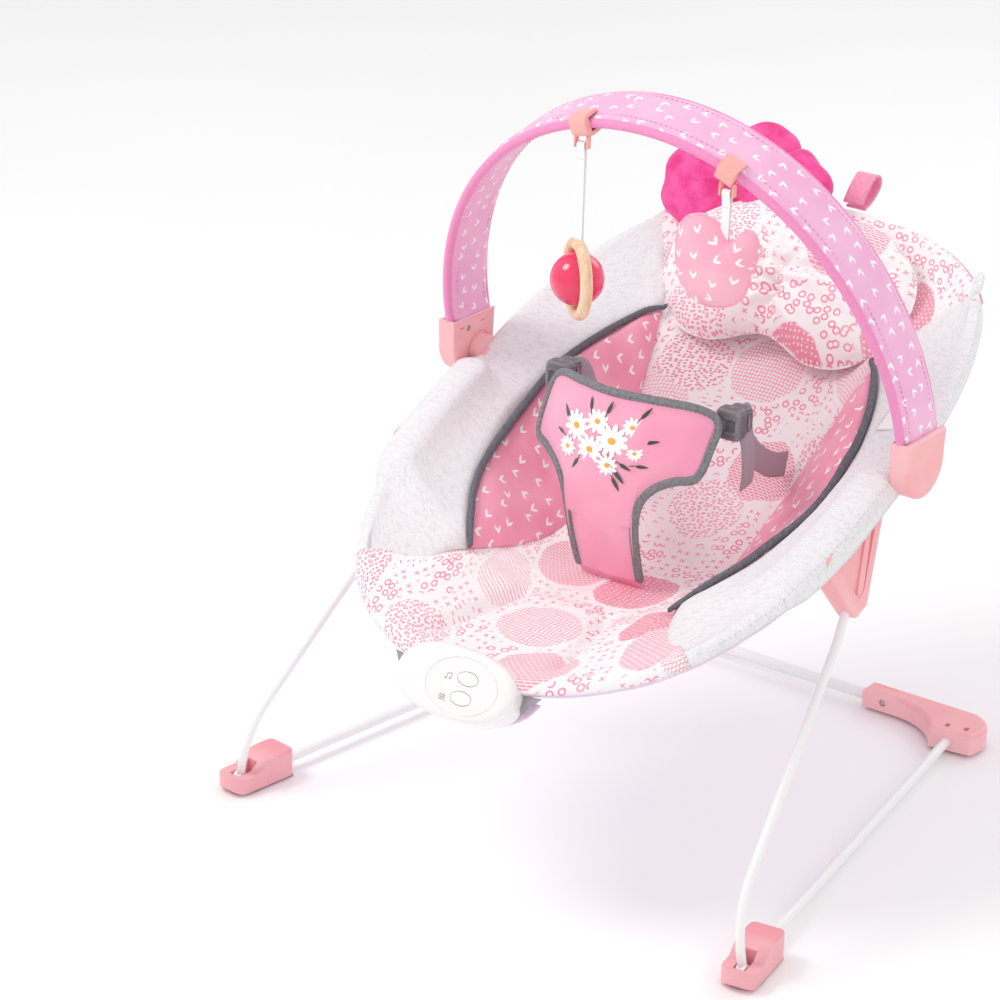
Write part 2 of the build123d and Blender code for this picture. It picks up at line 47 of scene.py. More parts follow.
# Baby bouncer seat with a toy bar. The helpers work in millimetres and place() turns them into metres.
MM = 0.001
RIM_Y, RIM_Z, TILT = -4.5, 291.7, math.radians(23.03)
HALF_LENGTH, FABRIC_HALF = 265.5, 198.0
HALF_WIDTH, HEM_R = 191.0, 7.0
FOOT_BENDS = (49.1, 298.6, 28.6, 163.8, 29.6)
HEAD_BENDS = (57.3, 356.9, 21.9, 135.3, 49.5)
STATIONS = 240  # the rim's stations run from 0 at the foot end to this at the head end
PAD_WRAP, PANEL_WRAP = (8.3, 7.25), (8.2, 7.2)  # outer and inner radius of the cloth round the tube
CLOTH = "cloth"


# ================================================================ materials
class Graph:
    """A material being wired: values are numbers, colours or sockets."""

    def __init__(self, name, rough=0.5, **sockets):
        self.mat = bpy.data.materials.new(name)
        self.mat.use_nodes = True
        self.tree = self.mat.node_tree
        self.tree.nodes.clear()
        out = self.tree.nodes.new("ShaderNodeOutputMaterial")
        self.shader = self.tree.nodes.new("ShaderNodeBsdfPrincipled")
        self.tree.links.new(self.shader.outputs[0], out.inputs[0])
        self.set("Roughness", rough)
        for key, value in sockets.items():
            self.set(key.replace("_", " "), value)

    def put(self, socket, value):
        if isinstance(value, bpy.types.NodeSocket):
            self.tree.links.new(value, socket)
        elif isinstance(value, str):
            socket.default_value = colour(value)
        else:
            socket.default_value = value

    def set(self, name, value):
        self.put(self.shader.inputs[name], value)

    def node(self, kind, inputs=None, **props):
        made = self.tree.nodes.new(kind)
        for key, value in props.items():
            setattr(made, key, value)
        for key, value in (inputs or {}).items():
            self.put(made.inputs[key], value)
        return made

    def math(self, op, a, b=0.0, c=0.0):
        return self.node("ShaderNodeMath", {0: a, 1: b, 2: c}, operation=op).outputs[0]

    def add(self, a, b):
        return self.math("ADD", a, b)

    def sub(self, a, b):
        return self.math("SUBTRACT", a, b)

    def mul(self, a, b):
        return self.math("MULTIPLY", a, b)

    def size(self, a):
        return self.math("ABSOLUTE", a)

    def vector_math(self, op, a, b):
        return self.node("ShaderNodeVectorMath", {0: a, 1: b}, operation=op).outputs[0]

    def mix(self, factor, a, b):
        made = self.node("ShaderNodeMix", data_type="RGBA")
        self.put(made.inputs[0], factor)
        self.put(made.inputs[6], a)
        self.put(made.inputs[7], b)
        return made.outputs[2]

    def lay(self):
        """Flat coordinates of the cloth, in metres."""
        return self.node("ShaderNodeUVMap", uv_map=CLOTH).outputs[0]

    def place(self):
        return self.node("ShaderNodeTexCoord").outputs["Object"]

    def scaled(self, vector, x, y=None, z=None, turn=0.0):
        y = x if y is None else y
        z = x if z is None else z
        made = self.node("ShaderNodeMapping", {0: vector})
        made.inputs["Scale"].default_value = (x, y, z)
        made.inputs["Rotation"].default_value = (0, 0, turn)
        return made.outputs[0]

    def noise(self, vector, scale, detail=3.0, rough=0.55):
        inputs = {"Vector": vector, "Scale": scale, "Detail": detail, "Roughness": rough}
        return self.node("ShaderNodeTexNoise", inputs).outputs[0]

    def split(self, vector):
        return self.node("ShaderNodeSeparateXYZ", {0: vector}).outputs

    def ramp(self, value, low, high):
        """0 below low, 1 above high, smooth between."""
        inputs = {"Value": value, "From Min": low, "From Max": high}
        made = self.node("ShaderNodeMapRange", inputs, interpolation_type="SMOOTHSTEP")
        return made.outputs[0]

    def bump(self, height, strength=0.4, distance=0.0005, under=None):
        inputs = {"Strength": strength, "Distance": distance, "Height": height}
        if under is not None:
            inputs["Normal"] = under
        return self.node("ShaderNodeBump", inputs).outputs[0]

    def finish(self, base, normal=None):
        self.set("Base Color", base)
        if normal is not None:
            self.set("Normal", normal)
        return self.mat


def colour(text):
    """Hex text as linear RGBA."""
    parts = [int(text[i:i + 2], 16) / 255 for i in (1, 3, 5)]
    linear = [c / 12.92 if c <= 0.04045 else ((c + 0.055) / 1.055) ** 2.4 for c in parts]
    return (*linear, 1.0)


def weave_height(g, vector, per_metre):
    """Over-and-under threads of a plain weave."""
    x, y, _ = g.split(g.scaled(vector, per_metre))
    warp = g.math("SINE", g.mul(x, math.pi))
    weft = g.math("SINE", g.mul(y, math.pi))
    crossed = g.mul(warp, weft)
    return g.add(g.mul(crossed, 0.5), g.mul(g.noise(vector, per_metre / 3), 0.6))


def wrinkle_height(g, vector, scale=14.0):
    """Soft creases of worn cloth."""
    stretched = g.scaled(vector, 1.0, 0.55, turn=0.7)
    return g.noise(stretched, scale, 2.0, 0.5)


def cloth_normal(g, vector, per_metre=1500.0, weave=0.35, crease=0.25, scale=14.0):
    creases = g.bump(wrinkle_height(g, vector, scale), crease, 0.006)
    return g.bump(weave_height(g, vector, per_metre), weave, 0.0004, creases)


def cells(g, vector, per_metre, jitter):
    """Distance, colour and local X and Y within scattered cells."""
    inputs = {"Vector": vector, "Scale": per_metre, "Randomness": jitter}
    made = g.node("ShaderNodeTexVoronoi", inputs, voronoi_dimensions="2D")
    scaled = g.scaled(vector, per_metre)
    middle = g.vector_math("MULTIPLY", made.outputs["Position"], (per_metre,) * 3)
    x, y, _ = g.split(g.vector_math("SUBTRACT", scaled, middle))
    return made.outputs["Distance"], made.outputs["Color"], x, y


def below(g, value, limit, soft):
    return g.sub(1.0, g.ramp(value, limit - soft, limit + soft))


def fold(g, value, pitch):
    """Distance to the nearest line of a set, as a share of the pitch."""
    wave = g.math("FRACT", g.math("DIVIDE", value, pitch))
    return g.mul(g.size(g.sub(wave, 0.5)), 2.0)


def v_marks(g, vector, per_metre, jitter=0.5, size=0.19, wide=0.062):
    """Small stubby v marks scattered over the cloth, each turned its own way."""
    _, shade, x, y = cells(g, vector, per_metre, jitter)
    spin = g.mul(g.sub(g.split(shade)[0], 0.5), 2.6)
    c, s = g.math("COSINE", spin), g.math("SINE", spin)
    turned = g.sub(g.mul(x, c), g.mul(y, s))
    y = g.add(g.mul(x, s), g.mul(y, c))
    side = g.size(turned)
    arm = g.add(g.sub(y, g.mul(side, 1.2)), 0.12)
    line = below(g, g.size(arm), wide * 1.6, 0.02)
    ends = below(g, side, size, 0.02)
    return g.mul(line, ends)


def pattern_white(name):
    """White cloth with round pink patches, each filled in its own way."""
    g = Graph(name, 0.78, Sheen_Weight=0.25, Sheen_Roughness=0.5)
    lay = g.lay()
    wobble = g.noise(lay, 55.0, 2.0)
    distance, shade, _, _ = cells(g, lay, 11.5, 0.62)
    pick, tone, _ = g.split(shade)
    edge = g.add(distance, g.mul(g.sub(wobble, 0.5), 0.10))
    patch = below(g, edge, 0.36, 0.008)
    x, y, _ = g.split(lay)
    sway = g.mul(g.sub(g.noise(lay, 90.0, 2.0), 0.5), 0.004)
    xs, ys = g.add(x, sway), g.add(y, sway)
    grain = g.ramp(g.noise(lay, 900.0, 2.0), 0.3, 0.6)
    lines_x = below(g, fold(g, xs, 0.0030), 0.22, 0.12)
    lines_y = below(g, fold(g, ys, 0.0034), 0.22, 0.12)
    hatch = g.math("MAXIMUM", lines_x, lines_y)
    stripes = below(g, fold(g, ys, 0.0034), 0.28, 0.1)
    zig = g.add(y, g.mul(fold(g, x, 0.009), 0.0042))
    zigzag = below(g, fold(g, zig, 0.0056), 0.28, 0.1)
    dot_d, _, _, _ = cells(g, lay, 230.0, 0.3)
    holes = g.sub(1.0, below(g, dot_d, 0.2, 0.05))
    blob_d, _, _, _ = cells(g, g.scaled(lay, 1.0, 1.5), 230.0, 0.7)
    blobs = below(g, blob_d, 0.33, 0.06)
    peb_d, _, _, _ = cells(g, lay, 112.0, 0.8)
    pebbles = g.mul(below(g, peb_d, 0.36, 0.05), g.ramp(peb_d, 0.17, 0.25))
    _, _, cx, cy = cells(g, lay, 120.0, 0.3)
    diag = g.size(g.sub(g.size(cx), g.size(cy)))
    reach = g.math("MAXIMUM", g.size(cx), g.size(cy))
    crosses = g.mul(below(g, diag, 0.08, 0.03), below(g, reach, 0.22, 0.03))
    _, _, hx, hy = cells(g, g.scaled(lay, 1.0, 2.0), 100.0, 0.5)
    dashes = g.mul(below(g, g.size(hx), 0.24, 0.03), below(g, g.size(hy), 0.10, 0.04))
    bricks = {"Vector": lay, "Scale": 95.0, "Mortar Size": 0.04, "Mortar Smooth": 0.2}
    brick = g.node("ShaderNodeTexBrick", bricks)
    strokes = g.sub(1.0, brick.outputs["Fac"])
    fills = (hatch, stripes, blobs, holes, zigzag, strokes)
    ink = 0.0
    for k, fill in enumerate(fills):
        here = g.math("COMPARE", pick, (k + 0.5) / len(fills), 0.5 / len(fills))
        ink = g.add(ink, g.mul(here, fill))
    ink = g.mul(g.mul(ink, patch), g.add(0.6, g.mul(grain, 0.4)))
    # Loose pebbles, crosses and dashes fill the cloth between the patches.
    between = g.ramp(edge, 0.40, 0.43)
    zone = g.noise(lay, 19.0, 1.0)
    in_pebbles = g.ramp(zone, 0.50, 0.515)
    in_crosses = g.mul(g.ramp(zone, 0.40, 0.41), g.sub(1.0, g.ramp(zone, 0.485, 0.495)))
    in_dashes = g.sub(1.0, g.ramp(zone, 0.375, 0.385))
    loose = g.add(g.mul(in_pebbles, pebbles), g.mul(in_crosses, crosses))
    loose = g.add(loose, g.mul(in_dashes, dashes))
    ink = g.math("MINIMUM", g.add(ink, g.mul(loose, between)), 1.0)
    strong = g.mix(tone, "#F0608A", "#F78FAC")
    pale = g.mix(g.noise(lay, 8.0, 1.0), "#F8F1F3", "#FDFBFC")
    base = g.mix(g.mul(ink, 0.88), pale, strong)
    return g.finish(base, cloth_normal(g, lay, 1300.0, 0.3, 0.5, 22.0))


def pattern_marks(name, low, high, mark, per_metre=62.0, rough=0.7, sheen=0.3):
    g = Graph(name, rough, Sheen_Weight=sheen, Sheen_Roughness=0.45)
    lay = g.lay()
    ground = g.mix(g.ramp(g.noise(lay, 18.0, 2.0), 0.3, 0.7), low, high)
    base = g.mix(v_marks(g, lay, per_metre), ground, mark)
    return g.finish(base, cloth_normal(g, lay, 1400.0, 0.28, 0.5, 20.0))


def plain_cloth(name, low, high, rough=0.8, per_metre=1400.0, weave=0.35, crease=0.4, scale=18.0, **sockets):
    g = Graph(name, rough, **sockets)
    lay = g.lay()
    mottled = g.ramp(g.noise(lay, 300.0, 3.0), 0.35, 0.65)
    base = g.mix(mottled, low, high)
    return g.finish(base, cloth_normal(g, lay, per_metre, weave, crease, scale))


def melange(name):
    """Knit in white and grey yarns that show as short level flecks."""
    g = Graph(name, 0.9, Sheen_Weight=0.3, Sheen_Roughness=0.6)
    lay = g.lay()
    flecks = g.noise(g.scaled(lay, 1.0, 3.2), 420.0, 4.0, 0.7)
    coarse = g.noise(g.scaled(lay, 1.0, 2.2), 120.0, 3.0, 0.6)
    grey = g.mul(g.ramp(flecks, 0.5, 0.62), 0.34)
    grey = g.add(grey, g.mul(g.ramp(coarse, 0.45, 0.7), 0.22))
    base = g.mix(grey, "#F3F1F3", "#B9B5BB")
    return g.finish(base, cloth_normal(g, lay, 1000.0, 0.5, 0.3, 16.0))


def webbing(name, dark, pale):
    """Herringbone tape."""
    g = Graph(name, 0.72, Sheen_Weight=0.2)
    x, y, _ = g.split(g.lay())
    zig = g.add(y, g.mul(fold(g, x, 0.006), 0.003))
    rib = fold(g, zig, 0.0016)
    base = g.mix(rib, dark, pale)
    return g.finish(base, g.bump(rib, 0.5, 0.0005))


def moulded(name, tone, dark, rough=0.34, **sockets):
    """Moulded plastic with faint grain, sink marks and painted highlights that lighten its convex edges."""
    g = Graph(name, rough, **sockets)
    place = g.place()
    blotch = g.noise(place, 28.0, 2.0)
    # Painted highlight: convex edges, found by pointiness, are lightened towards pale pink.
    edge_highlight = g.ramp(g.node("ShaderNodeNewGeometry").outputs["Pointiness"], 0.50, 0.56)
    base = g.mix(g.mul(g.ramp(blotch, 0.35, 0.7), 0.4), tone, dark)
    base = g.mix(g.mul(edge_highlight, 0.2), base, "#FFE9EA")
    grain = g.noise(place, 1600.0, 2.0)
    g.set("Roughness", g.add(rough - 0.06, g.mul(blotch, 0.14)))
    return g.finish(base, g.bump(grain, 0.12, 0.0002))


def powder_steel(name):
    g = Graph(name, 0.38, Coat_Weight=0.25, Coat_Roughness=0.3)
    place = g.place()
    orange = g.noise(place, 700.0, 2.0)
    scuffs = g.ramp(g.noise(g.scaled(place, 1.0, 4.0, 1.0), 45.0, 4.0), 0.62, 0.72)
    base = g.mix(g.mul(scuffs, 0.25), "#F4F3F3", "#D5D3D2")
    return g.finish(base, g.bump(orange, 0.15, 0.0002))


def wood(name):
    g = Graph(name, 0.45, Coat_Weight=0.2)
    place = g.scaled(g.place(), 1.0, 1.0, 0.25, turn=0.6)
    rings = g.noise(g.scaled(place, 60.0, 60.0, 9.0), 5.0, 4.0, 0.6)
    pores = g.ramp(g.noise(g.scaled(place, 500.0, 500.0, 60.0), 3.0, 2.0), 0.55, 0.7)
    base = g.mix(g.ramp(rings, 0.35, 0.65), "#F8DDBD", "#E9C096")
    base = g.mix(g.mul(pores, 0.25), base, "#CF9C6B")
    return g.finish(base, g.bump(rings, 0.1, 0.0003))


def velour(name):
    g = Graph(name, 0.85, Sheen_Weight=0.9, Sheen_Roughness=0.35, Sheen_Tint=colour("#FFB8DA"))
    place = g.place()
    nap = g.ramp(g.noise(place, 60.0, 3.0), 0.3, 0.7)
    pile = g.noise(place, 2600.0, 2.0)
    base = g.mix(nap, "#EC3389", "#FB63AD")
    return g.finish(base, g.bump(pile, 0.5, 0.0008))


def fuzzy(name, low, high):
    g = Graph(name, 0.95, Sheen_Weight=0.5, Sheen_Roughness=0.6)
    place = g.place()
    base = g.mix(g.noise(place, 700.0, 3.0), low, high)
    return g.finish(base, g.bump(g.noise(place, 1800.0, 3.0), 0.9, 0.0012))


def satin(name, low, high, **sockets):
    g = Graph(name, 0.36, Sheen_Weight=0.2, **sockets)
    lay = g.lay()
    base = g.mix(g.ramp(g.noise(lay, 12.0, 2.0), 0.3, 0.7), low, high)
    return g.finish(base, cloth_normal(g, lay, 2200.0, 0.2, 0.25, 16.0))


M = {
    "white_steel": powder_steel("powder_coated_steel"),
    "pink_plastic": moulded("salmon_plastic", "#FAB4B8", "#F3A2A8"),
    "foot_plastic": moulded("foot_plastic", "#F09CA5", "#E28995", 0.42),
    # Foot soles and rear pads are in dark rubber; under the elbows the pads' dark also stands in for painted
    # shade.
    "dark_rubber": moulded("sole_rubber_and_painted_shade", "#8E6A70", "#6F5258", 0.8),
    "steel_pin": moulded("turned_steel", "#B9B6B8", "#8F8C90", 0.3, Metallic=1.0),
    "grey_buckle": moulded("buckle_plastic", "#6B676D", "#57545A", 0.4),
    "white_plastic": moulded("white_gloss_plastic", "#F6F4F4", "#EFECED", 0.2,
                             Coat_Weight=0.5, Coat_Roughness=0.08),
    "clip_plastic": moulded("clip_plastic", "#F8A79B", "#EE9488", 0.36),
    "core_plastic": moulded("core_plastic", "#E9E4E4", "#D8D2D2", 0.5),
    "ball_plastic": moulded("ball_plastic", "#F22E63", "#E11F57", 0.16, Coat_Weight=0.6, Coat_Roughness=0.06),
    "board": moulded("board_laminate", "#2F6B45", "#245638", 0.45),
    "pale_wood": wood("pale_wood"),
    "cord": fuzzy("cotton_cord", "#F4F0EC", "#E5DED8"),
    "velour": velour("pink_velour"),
    "fuzzy_grey": fuzzy("grey_plush", "#B9B4BB", "#8F8A93"),
    "melange_fabric": melange("melange_knit"),
    "lilac_fabric": plain_cloth("lilac_cloth", "#E9CFE9", "#F3DDF1", 0.7, Sheen_Weight=0.25),
    "pink_edge": plain_cloth("pink_edge_cloth", "#F28DC2", "#F497C8", 0.55, 2000.0, 0.2, 0.2, 30.0,
                             Sheen_Weight=0.25),
    "dark_piping": plain_cloth("dark_piping_cloth", "#5D5C63", "#72717A", 0.7, 2000.0, 0.3, 0.3, 30.0),
    "hot_edge": plain_cloth("hot_edge_cloth", "#F33D78", "#F75A8E", 0.6, Sheen_Weight=0.3),
    "white_print": pattern_white("white_print_cloth"),
    "pink_print": pattern_marks("pink_print_cloth", "#FA9AB6", "#FDAEC5", "#FFF8FA", 58.0),
    "sleeve_fabric": pattern_marks("sleeve_print_cloth", "#F6B0D9", "#F9BEE0", "#FFFAFC", 60.0, 0.5, 0.3),
    "heart_fabric": pattern_marks("heart_print_cloth", "#F9AAC2", "#FCBCCF", "#FFF8FA", 62.0),
    "panel_fabric": satin("panel_satin", "#FB9DBD", "#FDB2CB"),
    "satin_ribbon": satin("satin_ribbon", "#F4F1F2", "#FFFFFF"),
    "label_fabric": satin("label_satin", "#F3F2F2", "#FFFFFF"),
    "loop_fabric": plain_cloth("loop_tape", "#F493B8", "#F7A9C6", 0.7, Sheen_Weight=0.2),
    "grey_webbing": webbing("grey_webbing", "#93858F", "#BDB0BA"),
    "grey_binding": plain_cloth("grey_binding", "#77777B", "#8B8B90", 0.7, 2000.0, 0.3, 0.3, 30.0),
    "white_thread": plain_cloth("white_thread", "#F2F0F1", "#FFFFFF", 0.6, 2400.0),
    "pale_thread": plain_cloth("pale_thread", "#C9C3CB", "#DAD5DC", 0.6, 2400.0),
    "petal_ink": satin("printed_white", "#FFF9F4", "#FFFFFF"),
    "centre_ink": satin("printed_orange", "#F29A1F", "#F8B94A"),
    "leaf_ink": satin("printed_green", "#2F3F38", "#4C5D4F"),
    "grey_line": moulded("icon_ink", "#8F9094", "#7C7D82", 0.5),
}


# ================================================================ mesh helpers
def place(points):
    return [(x * MM, y * MM, z * MM) for x, y, z in points]


def piece(name, points, faces, material, body, nodes=(), uv=None, smooth=True):
    """A mesh from millimetre points, finished, put on its body and in place of its CAD nodes."""
    mesh = bpy.data.meshes.new(name)
    mesh.from_pydata(place(points), [], faces)
    mesh.validate()
    obj = bpy.data.objects.new(name, mesh)
    bpy.context.scene.collection.objects.link(obj)
    mesh.materials.append(M[material])
    layer = mesh.uv_layers.new(name=CLOTH)
    if uv is None:
        low = [min(p[k] for p in points) for k in range(3)]
        high = [max(p[k] for p in points) for k in range(3)]
        order = sorted(range(3), key=lambda k: low[k] - high[k])[:2]
        uv = [(p[order[0]], p[order[1]]) for p in points]
    for loop in mesh.loops:
        u, v = uv[loop.vertex_index]
        layer.data[loop.index].uv = (u * MM, v * MM)
    if smooth:
        mesh.shade_smooth()
    tidy_normals(mesh)
    if body:
        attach(obj, body)
    if nodes:
        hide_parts(*nodes)
    return obj


def tidy_normals(mesh):
    work = bmesh.new()
    work.from_mesh(mesh)
    bmesh.ops.recalc_face_normals(work, faces=work.faces)
    work.to_mesh(mesh)
    work.free()


def grid_faces(rows, cols, start=0, flip=False, wrap=False):
    faces = []
    for i in range(rows - 1):
        for j in range(cols if wrap else cols - 1):
            a = start + i * cols + j
            b = start + i * cols + (j + 1) % cols
            quad = (a, b, b + cols, a + cols)
            faces.append(quad[::-1] if flip else quad)
    return faces


def disc_faces(rings, around, start=0, flip=False):
    """Faces between rings of points, from the innermost outward, and a cap on the innermost."""
    faces = []
    for r in range(rings):
        for k in range(around):
            a = start + r * around + k
            b = start + r * around + (k + 1) % around
            quad = (a, a + around, b + around, b)
            faces.append(quad[::-1] if flip else quad)
    cap = tuple(range(start, start + around))
    faces.append(cap[::-1] if flip else cap)
    return faces


def flat_lay(rows):
    """Flat coordinates of a grid of points: along each row from its middle, and along the middle column."""
    middle = len(rows[0]) // 2
    along, lay = 0.0, []
    for i, row in enumerate(rows):
        if i:
            along += (Vector(row[middle]) - Vector(rows[i - 1][middle])).length
        across = [0.0] * len(row)
        for j in range(middle + 1, len(row)):
            across[j] = across[j - 1] + (Vector(row[j]) - Vector(row[j - 1])).length
        for j in range(middle - 1, -1, -1):
            across[j] = across[j + 1] - (Vector(row[j + 1]) - Vector(row[j])).length
        lay += [(value, along) for value in across]
    return lay


def slab(name, top, bottom, material, body, nodes=(), uv=None):
    """A closed form between two grids of the same size, joined round their border."""
    rows, cols = len(top), len(top[0])
    points = [p for row in top for p in row] + [p for row in bottom for p in row]
    faces = grid_faces(rows, cols) + grid_faces(rows, cols, rows * cols, True)
    border = [(0, j) for j in range(cols - 1)] + [(i, cols - 1) for i in range(rows - 1)]
    border += [(rows - 1, j) for j in range(cols - 1, 0, -1)] + [(i, 0) for i in range(rows - 1, 0, -1)]
    index = [i * cols + j for i, j in border]
    count = rows * cols
    for a, b in zip(index, index[1:] + index[:1]):
        faces.append((b, a, a + count, b + count))
    lay = uv or flat_lay(top)
    return piece(name, points, faces, material, body, nodes, lay + lay)


def tube(name, path, radius, material, body, nodes=(), sides=10, closed=False, flat=1.0, up=None):
    """A round or flattened tube along points, with rounded ends."""
    path = [Vector(p) for p in path]
    count = len(path)
    points, lay, along = [], [], 0.0
    reference = Vector(up) if up else None
    last_side = None
    for i, p in enumerate(path):
        after = path[(i + 1) % count] if closed else path[min(i + 1, count - 1)]
        before = path[(i - 1) % count] if closed else path[max(i - 1, 0)]
        ahead = (after - before).normalized()
        if reference:
            side = ahead.cross(reference).normalized()
        elif last_side is None:
            side = ahead.orthogonal().normalized()
        else:
            side = (last_side - ahead * last_side.dot(ahead)).normalized()
        last_side = side
        other = side.cross(ahead)
        size = radius(i / (count - 1)) if callable(radius) else radius
        if not closed and i in (0, count - 1):
            size *= 0.55
        if i:
            along += (p - path[i - 1]).length
        for k in range(sides):
            a = 2 * math.pi * k / sides
            points.append(tuple(p + side * (size * math.cos(a)) + other * (size * flat * math.sin(a))))
            lay.append((size * a, along))
    faces = grid_faces(count, sides, wrap=True)
    if closed:
        for k in range(sides):
            a, b = (count - 1) * sides + k, (count - 1) * sides + (k + 1) % sides
            faces.append((a, b, (k + 1) % sides, k))
    else:
        faces.append(tuple(range(sides)))
        faces.append(tuple((count - 1) * sides + k for k in range(sides))[::-1])
    return piece(name, points, faces, material, body, nodes, lay)


def smooth_path(points, count, closed=False):
    """Points evenly spaced along a Catmull-Rom line through the given ones."""
    points = [Vector(p) for p in points]
    size = len(points)
    dense = []
    for i in range(size if closed else size - 1):
        if closed:
            p = [points[(i + k - 1) % size] for k in range(4)]
        else:
            p = [points[max(i - 1, 0)], points[i], points[i + 1], points[min(i + 2, size - 1)]]
        for k in range(16):
            t = k / 16
            bend = 2 * p[0] - 5 * p[1] + 4 * p[2] - p[3]
            twist = 3 * p[1] - p[0] - 3 * p[2] + p[3]
            dense.append(0.5 * (2 * p[1] + (p[2] - p[0]) * t + bend * t ** 2 + twist * t ** 3))
    dense.append(points[0] if closed else points[-1])
    return even(dense, count, closed)


def even(points, count, closed=False):
    lengths = [0.0]
    for a, b in zip(points, points[1:]):
        lengths.append(lengths[-1] + (b - a).length)
    total, made, k = lengths[-1], [], 0
    for i in range(count):
        want = total * i / (count if closed else count - 1)
        while k < len(lengths) - 2 and lengths[k + 1] < want:
            k += 1
        gap = lengths[k + 1] - lengths[k] or 1.0
        made.append(points[k].lerp(points[k + 1], min(max((want - lengths[k]) / gap, 0.0), 1.0)))
    return made


def stitches(name, path, normals, material, body, pitch=4.6, long=3.0, wide=0.55, high=0.35):
    """Short raised threads along a line."""
    path = [Vector(p) for p in path]
    total = sum((b - a).length for a, b in zip(path, path[1:]))
    count = max(int(total / pitch), 1)
    spots = even(path, count * 2 + 1)
    points, faces, lay = [], [], []
    for k in range(count):
        a = spots[2 * k]
        ahead = (spots[2 * k + 1] - a).normalized()
        near = min(range(len(path)), key=lambda i: (path[i] - a).length_squared)
        up = Vector(normals[near] if isinstance(normals, list) else normals).normalized()
        side = ahead.cross(up).normalized()
        start = len(points)
        for t, s in ((0, 0), (0.2, 1), (0.8, 1), (1, 0), (0.8, -1), (0.2, -1)):
            points.append(tuple(a + ahead * (long * t) + side * (wide * s) - up * 0.1))
        points.append(tuple(a + ahead * (long * 0.3) + up * high))
        points.append(tuple(a + ahead * (long * 0.7) + up * high))
        p, q = start + 6, start + 7
        faces += [(start, start + 1, p), (start + 1, start + 2, q, p), (start + 2, start + 3, q)]
        faces += [(start + 3, start + 4, q), (start + 4, start + 5, p, q), (start + 5, start, p)]
        faces.append(tuple(range(start + 5, start - 1, -1)))
        lay += [(0.3 * k, 0.2 * i) for i in range(8)]
    return piece(name, points, faces, material, body, uv=lay)


# ================================================================ rim and sling shapes
def quarter(bends, inset=0.0):
    """One side of the rim from its middle to an end: X and distance along the frame."""
    straight, r1, t1, r2, t2 = bends
    x, v, turned = HALF_WIDTH - inset, straight, 0.0
    points = [(x, straight * k / 8) for k in range(9)]
    for radius, turn in ((r1 - inset, t1), (r2 - inset, t2), (None, 90.0 - t1 - t2)):
        b = math.radians(turned)
        radius = radius or x / math.cos(b)
        for k in range(1, 19):
            a = math.radians(turned + turn * k / 18)
            reach, rise = math.cos(a) - math.cos(b), math.sin(a) - math.sin(b)
            points.append((x + radius * reach, v + radius * rise))
        x, v = points[-1]
        turned += turn
    return points


def rim_line(inset=0.0):
    """Right half of the rim from the foot's middle to the head's, as plan X and V."""
    foot = [(x, -v) for x, v in quarter(FOOT_BENDS, inset)][::-1]
    return foot + quarter(HEAD_BENDS, inset)[1:]


RIM = even([Vector((x, v, 0)) for x, v in rim_line()], STATIONS + 1)
RIM[0].x = RIM[-1].x = 0.0
HEAD_END = STATIONS - 0.01
ROUND_THE_RIM = [(i, 1) for i in range(STATIONS + 1)] + [(i, -1) for i in range(STATIONS - 1, 0, -1)]


def rim_frame(index, side=1):
    """Tube centre, outward direction and up direction at one of the rim's stations."""
    a, b = RIM[max(index - 1, 0)], RIM[min(index + 1, STATIONS)]
    ahead = (b - a).normalized()
    p, out = RIM[index], Vector((ahead.y, -ahead.x, 0))
    if index in (0, STATIONS):
        out = Vector((0, -1 if index == 0 else 1, 0))
    c, s = math.cos(TILT), math.sin(TILT)
    centre = Vector((side * p.x, RIM_Y + p.y * c, RIM_Z + p.y * s))
    return centre, Vector((side * out.x, out.y * c, out.y * s)), Vector((0, -s, c))


def rim_spot(position, radius, degrees, side=1):
    """A point round the tube, at a real-valued station, 0 outward and 90 up."""
    low = min(int(position), STATIONS - 1)
    share = position - low
    a, b = rim_frame(low, side), rim_frame(low + 1, side)
    centre, out, up = (p.lerp(q, share) for p, q in zip(a, b))
    turn = math.radians(degrees)
    return centre + (out.normalized() * math.cos(turn) + up * math.sin(turn)) * radius


def rim_station(x, head):
    """Station at the foot or head end where the rim is x from the middle."""
    stations = range(STATIONS // 2, STATIONS) if head else range(STATIONS // 2)
    for k in stations:
        a, b = RIM[k].x, RIM[k + 1].x
        if min(a, b) <= x <= max(a, b) and a != b:
            return k + (x - a) / (b - a)
    return STATIONS if head else 0


def sling_height(x, y):
    along = (y - RIM_Y) / HALF_LENGTH
    out = (abs(x / FABRIC_HALF) ** 2.4 + abs(along) ** 2.4) ** (1 / 2.4)
    edge = RIM_Z + math.tan(TILT) * (y - RIM_Y)
    dish = 23.0 * (1 - min(out, 1.12) ** 3)
    spread = 0.50 if along < -0.05 else 0.85
    deep = 61.0 * math.exp(-(((along + 0.05) / spread) ** 2))
    reach = 101 + 50 * math.exp(-((along / 0.33) ** 2))
    across = max(0.0, 1 - (abs(x) / reach) ** 4) ** 1.5
    return edge - dish - deep * across + 5 * min(out, 1) ** 8


def sling_normal(x, y):
    dx = (sling_height(x + 1, y) - sling_height(x - 1, y)) / 2
    dy = (sling_height(x, y + 1) - sling_height(x, y - 1)) / 2
    return Vector((-dx, -dy, 1)).normalized()


def on_sling(x, y, lift=0.0):
    return Vector((x, y, sling_height(x, y))) + sling_normal(x, y) * lift


def circle_through(a, b, c):
    """Centre and radius of the circle through three plan points."""
    ax, ay, bx, by, cx, cy = *a, *b, *c
    d = 2 * (ax * (by - cy) + bx * (cy - ay) + cx * (ay - by))
    aa, bb, cc = ax * ax + ay * ay, bx * bx + by * by, cx * cx + cy * cy
    ux = (aa * (by - cy) + bb * (cy - ay) + cc * (ay - by)) / d
    uy = (aa * (cx - bx) + bb * (ax - cx) + cc * (bx - ax)) / d
    return ux, uy, math.hypot(ax - ux, ay - uy)


